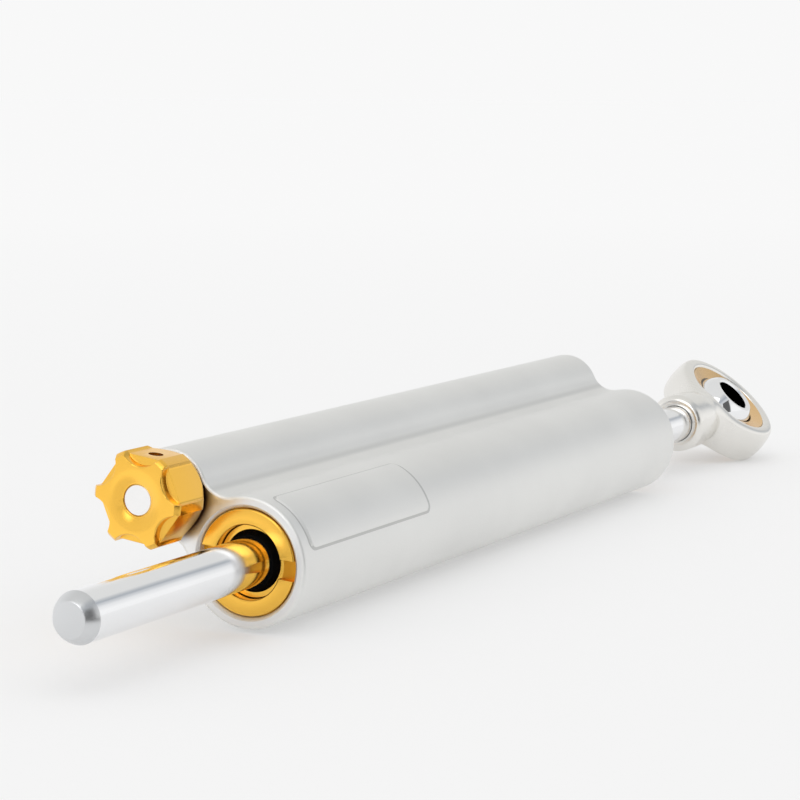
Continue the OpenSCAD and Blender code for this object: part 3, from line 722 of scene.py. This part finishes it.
class DAMPER_OT_body(bpy.types.Operator):
    """Model the twin-tube body with its bores, rounded rims and raised panel"""

    bl_idname = "damper.body"
    bl_label = "Body"

    def execute(self, context):
        body, _rod, _knob = sizes()
        bm = bmesh.new()
        long, rim, rim_steps = body.body_len, body.rim_r, 5
        rings = []
        for k in range(rim_steps + 1):
            a = QUARTER * k / rim_steps
            rings.append((rim * (1 - math.sin(a)), rim * (1 - math.cos(a))))
        rings += [(inset, long - x) for inset, x in reversed(rings)]
        front, rear = loft(bm, [tube_section(body, inset, x) for inset, x in rings])

        gland, mouth, soft = body.gland_d / 2, body.mouth, body.mouth * 0.2
        head_len, chamber = 47.5 * MM, 10.5 * MM
        half = [
            (gland + mouth + soft, 0), (gland + mouth, soft), (gland + soft, mouth),
            (gland, mouth + 2 * soft), (gland, head_len), (chamber, head_len),
        ]
        bore = [circle(x, r) for r, x in half] + [circle(long - x, r) for r, x in reversed(half)]
        main_front, main_rear = loft(bm, bore)

        wide, valve, narrow = 7.3 * MM, 6.5 * MM, 5.5 * MM
        mouth_len, valve_end, oil_start = 2 * MM, 58 * MM, 90 * MM
        side_bore = [
            (wide, 0), (wide, mouth_len), (valve, mouth_len), (valve, valve_end), (narrow, valve_end),
            (narrow, oil_start), (valve, oil_start), (valve, long - mouth_len), (wide, long - mouth_len),
            (wide, long),
        ]
        side_front, side_rear = loft(bm, [circle(x, r, body.side_offset) for r, x in side_bore])
        end_face(bm, front + main_front + side_front)
        end_face(bm, rear + main_rear + side_rear)
        tidy(bm)

        panel = raised_panel(body)
        tidy(panel)
        mesh = mesh_from("panel", panel)
        bm.from_mesh(mesh)
        bpy.data.meshes.remove(mesh)
        finishes = ["satin_silver", "machined_face", "panel_foot"]
        piece("twin_tube_body", bm, "damper", finishes, "damper_body", lay_matrix(), 30)
        return {"FINISHED"}


def gland_nut(body):
    """A gland nut with two spanner slots, cut and softened."""
    bm = bmesh.new()
    inner, outer = body.nut_bore_d / 2, body.gland_d / 2 - SLIP
    face, back, edge = body.nut_recess, body.nut_len, body.nut_edge
    relief, step = outer - body.relief_w, face + body.relief_len
    outline = [
        (face, inner + edge), (face, relief - edge), (face + edge, relief), (step, relief),
        (step, outer), (back, outer), (back, inner), (face + edge, inner),
    ]
    turn(bm, outline, closed=True)
    tidy(bm)
    cos, sin = math.cos(body.slot_angle), math.sin(body.slot_angle)
    along, across = Vector((0, cos, sin)), Vector((0, -sin, cos))
    floor, half_w, tiny = face + body.slot_depth, body.slot_w / 2, 1e-7
    slice_at(bm, across * half_w, across)
    slice_at(bm, -across * half_w, across)
    slice_at(bm, (floor, 0, 0), (1, 0, 0))
    gone = []
    for f in bm.faces:
        c = f.calc_center_median()
        if abs(c.dot(across)) < half_w and c.x < floor:
            gone.append(f)
    bmesh.ops.delete(bm, geom=gone, context="FACES")
    milled = []
    for s in (1, -1):
        arcs = [e for e in bm.edges if e.is_boundary and e.verts[0].co.dot(along) * s > 0
                and all(abs(v.co.x - floor) < tiny for v in e.verts)]
        milled += bmesh.ops.bridge_loops(bm, edges=arcs)["faces"]
    milled += bmesh.ops.holes_fill(bm, edges=[e for e in bm.edges if e.is_boundary], sides=0)["faces"]
    for f in milled:
        f.material_index = 1
    bmesh.ops.recalc_face_normals(bm, faces=bm.faces)
    crisp = [e for e in bm.edges if len(e.link_faces) == 2 and e.calc_face_angle() > math.radians(25)
             and max(v.co.x for v in e.verts) < back - 10 * tiny]
    bmesh.ops.bevel(bm, geom=crisp, offset=0.08 * MM, offset_type="OFFSET", segments=2, profile=0.5,
                    affect="EDGES", clamp_overlap=True, material=-1)
    return bm


class DAMPER_OT_nuts(bpy.types.Operator):
    """Model the two gold gland nuts"""

    bl_idname = "damper.nuts"
    bl_label = "Gland nuts"

    def execute(self, context):
        body, _rod, _knob = sizes()
        finishes = ["gold_nut", "gold_slot"]
        rear = Matrix.Translation((body.body_len, 0, 0)) @ Matrix.Scale(-1, 4, (1, 0, 0))
        for end, turned in (("front", Matrix.Identity(4)), ("rear", rear)):
            name, node, matrix = "gland_ring_nut_" + end, "gland_nut_" + end, lay_matrix() @ turned
            piece(name, gland_nut(body), "damper", finishes, node, matrix, 25)
        return {"FINISHED"}


class DAMPER_OT_rod(bpy.types.Operator):
    """Model the chromed through rod"""

    bl_idname = "damper.rod"
    bl_label = "Through rod"

    def execute(self, context):
        _body, rod, _knob = sizes()
        r, tip, flat, end = rod.rod_d / 2, -rod.rod_front, rod.tip_d / 2, rod.rod_end_x
        flat_edge, chamfer_edge, end_edge, turned_len = 0.22 * MM, 0.2 * MM, 0.7 * MM, 1 * MM
        chamfer_steps = 8
        corners = [(tip, 0, 0), (tip, flat, flat_edge)]
        for k in range(1, chamfer_steps):
            share = k / chamfer_steps
            bulge = 4 * rod.tip_bulge * share * (1 - share)
            corners.append((tip + rod.tip_len * share - bulge / 2, flat + (r - flat) * share + bulge, 0))
        corners.append((tip + rod.tip_len, r, chamfer_edge))
        low = r - rod.groove_depth
        for place in (rod.groove_front, rod.groove_rear):
            after = place + rod.groove_w
            corners += [(place, r, 0), (place, low, 0), (after, low, 0), (after, r, 0)]
        corners += [(end - end_edge, r, 0), (end, r - end_edge, 0), (end, 0, 0)]
        bm = bmesh.new()
        turn(bm, rounded(corners))
        for f in bm.faces:
            if max(v.co.x for v in f.verts) < tip + rod.tip_len + turned_len:
                f.material_index = 1
        finishes = ["hard_chrome", "turned_tip"]
        piece("through_rod", bm, "rod", finishes, "piston_rod", lay_matrix(), 30)
        return {"FINISHED"}


def soft_min(a, b, k):
    """The smaller of two values with a rounded change-over."""
    k = 1.5 * k
    h = np.maximum(k - np.abs(a - b), 0.0) / k
    return np.minimum(a, b) - h * h * h * k / 6


def soft_max(a, b, k):
    """The larger of two values with a rounded change-over."""
    return -soft_min(-a, -b, k)


def housing_distance(p, rod):
    """Distance to the rod end housing's surface, in the damper's own plane."""
    face_soft, taper_soft, edge_soft = 1.6 * MM, 1.0 * MM, 0.5 * MM
    seat_soft, lead_soft = 0.4 * MM, 0.2 * MM
    cos, sin = math.cos(rod.head_turn), math.sin(rod.head_turn)
    x, y, z = p[:, 0] - rod.eye_x, cos * p[:, 1] + sin * p[:, 2], np.abs(cos * p[:, 2] - sin * p[:, 1])
    flat, round_x = np.hypot(x, y), np.hypot(y, z)
    race, half = rod.race_d / 2, rod.head_w / 2
    barrel = np.hypot(flat - rod.head_d / 2 + rod.crown_r, z) - rod.crown_r
    ring = soft_max(barrel, z - half, face_soft)
    start = rod.shank_x - rod.eye_x
    shank_r, neck_r = rod.shank_d / 2, half - NECK_STEP
    taper_x = start + rod.shank_plain
    fall = (shank_r - neck_r) / (-race - taper_x)
    cone = (round_x - shank_r + fall * (x - taper_x)) / math.hypot(1, fall)
    bar = soft_max(round_x - shank_r, cone, taper_soft)
    cut = (round_x - shank_r - x + start + rod.shank_edge) / math.sqrt(2)
    bar = soft_max(soft_max(bar, cut, edge_soft), start - x, edge_soft)
    solid = soft_min(ring, np.maximum(bar, x + race), rod.fillet)
    lead_w, lead_h = rod.lead_w, rod.lead_h
    bevel = (lead_w * (z - half + lead_h) - lead_h * (flat - race)) / math.hypot(lead_w, lead_h)
    solid = soft_max(solid, soft_max(race - flat, bevel, lead_soft), seat_soft)
    hole = np.maximum(round_x - rod.rod_d / 2 - SLIP, x - start - THREAD_LEN)
    return soft_max(solid, -hole, edge_soft)


def housing_rough(rod):
    """The rod end's shank and head as plain turned objects that overlap."""
    shank, ring = bmesh.new(), bmesh.new()
    start, r, hole_r, edge = rod.shank_x, rod.shank_d / 2, rod.rod_d / 2, rod.shank_edge
    race, head, half = rod.race_d / 2, rod.head_d / 2, rod.head_w / 2
    overlap, ring_steps = 0.5 * MM, 192
    inner, floor = rod.eye_x - race - overlap, start + THREAD_LEN
    outline = [
        (start, hole_r), (start, r - edge), (start + edge, r), (start + rod.shank_plain, r),
        (inner, half - NECK_STEP), (inner, 0), (floor, 0), (floor, hole_r),
    ]
    turn(shank, outline, closed=True)
    tidy(shank)
    rim = head - rod.crown_r + math.sqrt(rod.crown_r**2 - half**2)
    outline = [(-half, race), (-half, rim), (-half / 2, head), (half / 2, head), (half, rim), (half, race)]
    turn(ring, outline, closed=True, steps=ring_steps)
    tidy(ring)
    stand = Matrix.Rotation(rod.head_turn, 4, "X") @ Matrix.Rotation(-QUARTER, 4, "Y")
    bmesh.ops.transform(ring, verts=ring.verts, matrix=Matrix.Translation((rod.eye_x, 0, 0)) @ stand)
    shapes = (("rod_end_shank", shank), ("rod_end_ring", ring))
    return [linked(name, mesh_from(name, shape)) for name, shape in shapes]


def settle(mesh, rod):
    """Smooths the rough skin and draws it on to the housing's true surface."""
    rounds, smooth_rounds = 12, 7
    probe, furthest, tiny = 0.02 * MM, 0.5 * MM, 1e-6
    count = len(mesh.vertices)
    p = np.empty(count * 3)
    mesh.vertices.foreach_get("co", p)
    p = p.reshape(-1, 3)
    ends = np.empty(len(mesh.edges) * 2, dtype=np.int64)
    mesh.edges.foreach_get("vertices", ends)
    ends = ends.reshape(-1, 2)
    links = np.bincount(ends.ravel(), minlength=count)[:, None]
    for k in range(rounds):
        if k < smooth_rounds:
            around = np.zeros_like(p)
            np.add.at(around, ends[:, 0], p[ends[:, 1]])
            np.add.at(around, ends[:, 1], p[ends[:, 0]])
            p = 0.5 * (p + around / links)
        slope = np.empty_like(p)
        for axis, step in enumerate(np.eye(3) * probe):
            slope[:, axis] = housing_distance(p + step, rod) - housing_distance(p - step, rod)
        slope /= 2 * probe
        slope /= np.maximum(np.linalg.norm(slope, axis=1, keepdims=True), tiny)
        p = p - np.clip(housing_distance(p, rod), -furthest, furthest)[:, None] * slope
    mesh.vertices.foreach_set("co", p.ravel())


class DAMPER_OT_rod_end(bpy.types.Operator):
    """Model the rod end's housing as one forged and plated shape"""

    bl_idname = "damper.rod_end"
    bl_label = "Rod end"

    def execute(self, context):
        _body, rod, _knob = sizes()
        name = "rod_end_forging"
        shank, ring = housing_rough(rod)
        add_boolean(shank, ring, "UNION")
        skin = shank.modifiers.new("skin", "REMESH")
        skin.mode = "VOXEL"
        skin.voxel_size = 0.26 * MM
        mesh = applied(shank)
        for rough in (shank, ring):
            bpy.data.objects.remove(rough)
        if len(mesh.vertices) == 0:
            raise RuntimeError("the rod end's skin came out empty")
        mesh.name = name
        settle(mesh, rod)
        mesh.transform(lay_matrix())
        finish_object(name, mesh, "rod", ["satin_nickel"], "rod_end_housing", 60)
        return {"FINISHED"}


def knob_outline(knob, turned):
    """The knob's scalloped radius and its radius at the flats behind the ledge, at an angle."""
    tip, flat, scallop = knob.knob_d / 2, knob.core_d / 2, knob.scallop_r
    lobe_soft, flat_soft = 0.45 * MM, 0.5 * MM
    centre = tip - knob.scallop_depth + scallop
    sector = TAU / LOBES
    off = (turned - knob.lobe_angle) % sector - sector / 2
    inside = scallop**2 - (centre * math.sin(off)) ** 2
    cut = centre * math.cos(off) - math.sqrt(inside) if inside > 0 else 2 * tip
    front = float(soft_min(cut, tip, lobe_soft))
    back = float(soft_max(front, flat / math.cos(off), flat_soft))
    return front, min(back, tip)


def knob_rings(knob, outline):
    """The knob's rings, from the spindle hole over the front to the back, as (x, r) at each angle."""
    face, back = -knob.front, -knob.gap
    step, floor = face + knob.ledge, face + knob.dish_depth
    hole, dish, rim, tip = knob.hole_d / 2, knob.dish_d / 2, knob.rim_d / 2, knob.knob_d / 2
    soft, shoulder = knob.edge_r, tip - knob.bevel
    hole_len, hole_edge, hole_land = 1.6 * MM, 0.12 * MM, 0.2 * MM
    back_edge, back_len, taper_soft = 0.15 * MM, 0.6 * MM, 0.3 * MM
    ledge_soft, hair = 0.25 * MM, 0.01 * MM
    dish_steps, dish_power, flat_share, edge_steps, taper_steps = 12, 1.8, 0.55, 3, 14
    # Rings at the ledge: place along x, most distance from the wall, share of the ledge's width
    ledge_foot = ((-0.07 * MM, 0.07 * MM, 0.3), (0.0, ledge_soft, 0.5))
    ledge_rim = ((0.0, 0.2 * MM, 0.3), (0.07 * MM, 0.06 * MM, 0.1), (ledge_soft, 0.0, 0.0))
    rings = []

    def add(ring):
        rings.append([ring(f, b) for f, b in outline])

    def sloped(f, drop):
        return face + max(0.0, f - shoulder) + drop

    def tapered(b, x):
        cone = rim + (tip - rim) * (back - x) / knob.taper
        return float(soft_min(b, cone, taper_soft))

    add(lambda f, b: (face + hole_len, hole))
    add(lambda f, b: (floor + hole_edge, hole))
    add(lambda f, b: (floor, hole + hole_edge))
    for k in range(dish_steps + 1):
        share = k / dish_steps
        depth = knob.dish_depth * (1 - share) ** dish_power
        reach = hole + hole_land + share * (dish - hole - hole_land)
        add(lambda f, b: (face + depth, reach))
    add(lambda f, b: (face, dish + flat_share * (min(f - soft, shoulder) - dish)))
    add(lambda f, b: (face, min(f - soft, shoulder) - 2 * hair))
    for k in range(edge_steps + 1):
        a = QUARTER * k / edge_steps
        inset, drop = soft * (1 - math.sin(a)), soft * (1 - math.cos(a))
        add(lambda f, b: (sloped(f - inset, drop), f - inset))
    add(lambda f, b: (max(step - ledge_soft, sloped(f, soft) + hair), f))
    for along, most, share in ledge_foot:
        add(lambda f, b: (step + along, f + min(most, (b - f) * share)))
    for along, most, share in ledge_rim:
        add(lambda f, b: (step + along, b - min(most, (b - f) * share)))
    for k in range(taper_steps + 1):
        x = back - back_edge - (knob.taper + 2 * back_edge) * (1 - k / taper_steps)
        add(lambda f, b: (x, tapered(b, x)))
    add(lambda f, b: (back, tapered(b, back) - back_edge))
    add(lambda f, b: (back, hole + hole_land))
    add(lambda f, b: (back - back_len, hole))
    return rings


def screw_drill(body, knob):
    """A cylinder where the knob's screw hole goes."""
    drill = bmesh.new()
    r, long, inner = knob.screw_d / 2, 8 * MM, 3.4 * MM
    bmesh.ops.create_cone(drill, cap_ends=True, segments=64, radius1=r, radius2=r, depth=long)
    radial = Matrix.Rotation(knob.lobe_angle + math.pi / LOBES, 4, "X")
    out = radial @ Matrix.Translation((-knob.screw_x, inner + long / 2, 0))
    across = Matrix.Translation((0, body.side_offset, 0)) @ out @ Matrix.Rotation(-QUARTER, 4, "X")
    bmesh.ops.transform(drill, matrix=lay_matrix() @ across, verts=drill.verts)
    return linked("screw_drill", mesh_from("screw_drill", drill))


class DAMPER_OT_knob(bpy.types.Operator):
    """Model the lobed adjuster knob with its dish, ledges and screw hole"""

    bl_idname = "damper.knob"
    bl_label = "Adjuster knob"

    def execute(self, context):
        body, _rod, knob = sizes()
        sides, sharp, y = 480, 32, body.side_offset
        turns = [TAU * k / sides for k in range(sides)]
        outline = [knob_outline(knob, t) for t in turns]
        loops = []
        for ring in knob_rings(knob, outline):
            loops.append([(x, y + r * math.cos(t), r * math.sin(t)) for (x, r), t in zip(ring, turns)])
        bm = bmesh.new()
        loft(bm, loops + loops[:1])
        finishes = ["gold_knob"]
        obj = piece("lobed_knob", bm, "knob", finishes, "adjuster_knob", lay_matrix(), sharp)
        drill = screw_drill(body, knob)
        add_boolean(obj, drill, "DIFFERENCE")
        drilled = applied(obj)
        obj.modifiers.clear()
        old, obj.data = obj.data, drilled
        bpy.data.meshes.remove(old)
        bpy.data.objects.remove(drill)
        if len(drilled.polygons) == 0:
            raise RuntimeError("the knob's screw hole could not be cut")
        smooth(drilled, sharp)
        return {"FINISHED"}


class DAMPER_OT_spring(bpy.types.Operator):
    """Model the hidden compensator spring, which its piston presses, as a still coil"""

    bl_idname = "damper.spring"
    bl_label = "Compensator spring"

    def execute(self, context):
        body, _rod, _knob = sizes()
        low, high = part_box("compensator_spring")
        middle = (low + high) / 2
        wire = body.spring_wire / 2
        reach = (high.z - low.z) / 2 - wire
        steps, sides = 36, 10
        count = COILS * steps
        rings = []
        for k in range(count + 1):
            out = Vector((0, math.cos(TAU * k / steps), math.sin(TAU * k / steps)))
            x = low.x + wire + (high.x - low.x - 2 * wire) * k / count
            centre = Vector((x, middle.y, middle.z)) + out * reach
            section = arc((0, 0), wire, 0, TAU, sides)
            rings.append([centre + out * p[0] + Vector((p[1], 0, 0)) for p in section])
        bm = bmesh.new()
        for edges in loft(bm, rings):
            bmesh.ops.edgeloop_fill(bm, edges=edges)
        still = Matrix.Identity(4)
        coil = piece("compensator_coil", bm, None, ["dark_steel"], "compensator_spring", still)
        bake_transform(coil)
        return {"FINISHED"}


def floor_material(studio):
    """A pale matte floor that keeps its shadow and fades into the backdrop."""
    graph = Finish("pale_floor")
    near, far = 0.3, 1.5
    reach = graph.add("ShaderNodeVectorMath", {0: graph.place()}, operation="LENGTH").outputs["Value"]
    share = graph.span(reach, near, far)
    tone = graph.blend(share, (*studio.floor, 1.0), (*studio.far_floor, 1.0))
    graph.fill({"Base Color": tone, "Roughness": 0.9, "Specular IOR Level": 0.0})
    lit = studio.ambient + studio.key * -Vector(KEY_WAY).normalized().z / math.pi
    glow = graph.add("ShaderNodeEmission", {"Color": tone, "Strength": lit}).outputs[0]
    _mirrored, seen = graph.rays()
    lift = graph.math("MULTIPLY", seen, studio.shadow_lift)
    graph.put(graph.output.inputs["Surface"], graph.shader_mix(lift, graph.shader.outputs[0], glow))
    return graph.material


def studio_world(studio):
    """White where it is seen, plain light on surfaces, and bands along the damper in mirrors."""
    world = bpy.data.worlds.new("studio_white")
    world.use_nodes = True
    graph = Graph(world.node_tree)
    mirrored, seen = graph.rays()
    way = graph.add("ShaderNodeTexCoord").outputs["Generated"]
    _along, across, up = graph.add("ShaderNodeSeparateXYZ", {0: way}).outputs
    around = graph.math("ARCTAN2", up, graph.math("MULTIPLY", across, -1.0))
    bands = graph.add("ShaderNodeValToRGB", {0: graph.math("DIVIDE", around, math.pi)})
    ramp = bands.color_ramp
    ramp.interpolation = "EASE"
    strip, shade, veil = Vector(studio.strip), Vector(studio.shade), Vector(studio.veil)
    # Tones by their angle above the floor on the right, in degrees
    ends = ((14, strip), (165, studio.white))
    between = (
        (30, strip.lerp(shade, 0.20)), (44, strip.lerp(shade, 0.62)), (52, shade),
        (60, shade.lerp(veil, 0.45)), (69, veil), (110, veil),
    )
    for stop, (degrees, tone) in zip(ramp.elements, ends):
        stop.position = degrees / 180
        stop.color = (*tone, 1.0)
    for degrees, tone in between:
        ramp.elements.new(degrees / 180).color = (*tone, 1.0)
    backdrop = graph.blend(mirrored, (*studio.white, 1.0), bands.outputs[0])
    light = {"Color": (1.0, 1.0, 1.0, 1.0), "Strength": studio.ambient}
    plain = graph.add("ShaderNodeBackground", light).outputs[0]
    bright = graph.add("ShaderNodeBackground", {"Color": backdrop}).outputs[0]
    graph.add("ShaderNodeOutputWorld", {"Surface": graph.shader_mix(seen, plain, bright)})
    return world


def mirror_card(name, brightness, fade, edge, folds):
    """A card that only mirrors show, drawn from one edge and folded on.

    Its fade runs along x and is (start, end, last brightness).
    """
    start, end, last = fade
    graph = Finish(name)
    along = graph.radius(graph.place())[0]
    graph.fill({
        "Base Color": (0.0, 0.0, 0.0, 1.0),
        "Emission Color": (1.0, 1.0, 1.0, 1.0),
        "Emission Strength": graph.span(along, start, end, brightness, last, "SMOOTHSTEP"),
        "Specular IOR Level": 0.0,
    })
    bm = bmesh.new()
    side = bm.edges.new([bm.verts.new(p) for p in edge])
    for fold in folds:
        made = bmesh.ops.extrude_edge_only(bm, edges=[side])["geom"]
        fresh = [v for v in made if isinstance(v, bmesh.types.BMVert)]
        bmesh.ops.translate(bm, vec=fold, verts=fresh)
        side = next(e for e in made if isinstance(e, bmesh.types.BMEdge) and set(e.verts) == set(fresh))
    card = linked(name, mesh_from(name, bm))
    card.data.materials.append(graph.material)
    card.visible_camera = card.visible_diffuse = card.visible_shadow = False
    card.visible_transmission = card.visible_volume_scatter = False
    card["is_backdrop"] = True


class DAMPER_OT_studio(bpy.types.Operator):
    """Set up the floor, the light and the camera"""

    bl_idname = "damper.studio"
    bl_label = "Studio"

    def execute(self, context):
        scene = context.scene
        studio = scene.damper_studio
        low, _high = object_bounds()
        bm = bmesh.new()
        ground = Matrix.Translation((0, 0, low.z))
        bmesh.ops.create_grid(bm, x_segments=1, y_segments=1, size=20.0, matrix=ground)
        floor = linked("floor", mesh_from("floor", bm))
        floor.data.materials.append(floor_material(studio))
        floor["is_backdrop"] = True
        scene.world = studio_world(studio)

        above, faded = low.z + 1 * MM, 0.90
        mirror_card("dark_card", studio.dark_card, (-0.14, -0.07, faded),
                    ((-0.60, -0.07, above), (-0.07, -0.07, above)), ((0, -0.58, 0), (0, 0, 0.55)))
        mirror_card("side_card", studio.side_card, (-0.20, -0.32, faded),
                    ((-0.32, 0.04, above), (-0.10, 0.04, above)), ((0, 0.50, 0), (0, 0, 0.30)))
        mirror_card("light_card", studio.light_card, (-0.50, -0.95, studio.light_card),
                    ((-0.95, 0.30, 0.35), (-0.95, -0.40, 0.35)), ((0.45, 0, 0.50),))

        lamp = bpy.data.lights.new("key_light", "SUN")
        lamp.energy = studio.key
        lamp.angle = studio.key_spread
        key = linked("key_light", lamp)
        key.rotation_euler = Vector(KEY_WAY).to_track_quat("-Z", "Y").to_euler()
        key.visible_glossy = False

        optics = bpy.data.cameras.new("photo_camera")
        optics.lens = studio.lens
        optics.sensor_width = 36.0
        optics.clip_start = 0.01
        camera = linked("photo_camera", optics)
        camera.location = studio.place
        cos = math.cos(studio.pitch)
        forward = Vector((cos * math.cos(studio.yaw), cos * math.sin(studio.yaw), -math.sin(studio.pitch)))
        camera.rotation_euler = forward.to_track_quat("-Z", "Y").to_euler()
        scene.camera = camera
        scene.view_settings.view_transform = "Standard"
        return {"FINISHED"}


class DAMPER_PT_panel(bpy.types.Panel):
    """Lists the damper's pieces and their sizes"""

    bl_label = "Steering damper"
    bl_idname = "DAMPER_PT_panel"
    bl_space_type = "VIEW_3D"
    bl_region_type = "UI"
    bl_category = "Damper"

    def draw(self, context):
        for operator in OPERATORS:
            self.layout.operator(operator.bl_idname)
        for group in GROUPS:
            box = self.layout.box()
            holder = getattr(context.scene, group)
            for name in holder.bl_rna.properties.keys():
                if name not in ("rna_type", "name"):
                    box.prop(holder, name)


GROUPS = {
    "damper_body": DamperBodySizes,
    "damper_rod": DamperRodSizes,
    "damper_knob": DamperKnobSizes,
    "damper_finishes": DamperFinishes,
    "damper_studio": DamperStudio,
}
OPERATORS = (
    DAMPER_OT_finishes,
    DAMPER_OT_body,
    DAMPER_OT_nuts,
    DAMPER_OT_rod,
    DAMPER_OT_rod_end,
    DAMPER_OT_knob,
    DAMPER_OT_spring,
    DAMPER_OT_studio,
)
CLASSES = (*GROUPS.values(), *OPERATORS, DAMPER_PT_panel)


def register():
    """Registers the classes and the property groups."""
    for cls in CLASSES:
        bpy.utils.register_class(cls)
    for name, group in GROUPS.items():
        setattr(bpy.types.Scene, name, bpy.props.PointerProperty(type=group))


def unregister():
    """Removes the property groups and the classes."""
    for name in GROUPS:
        delattr(bpy.types.Scene, name)
    for cls in reversed(CLASSES):
        bpy.utils.unregister_class(cls)


def main():
    """Builds every piece and the studio."""
    register()
    bpy.ops.damper.finishes()
    bpy.ops.damper.body()
    bpy.ops.damper.nuts()
    bpy.ops.damper.rod()
    bpy.ops.damper.rod_end()
    bpy.ops.damper.knob()
    bpy.ops.damper.spring()
    bpy.ops.damper.studio()
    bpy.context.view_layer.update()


if __name__ == "__main__":
    main()
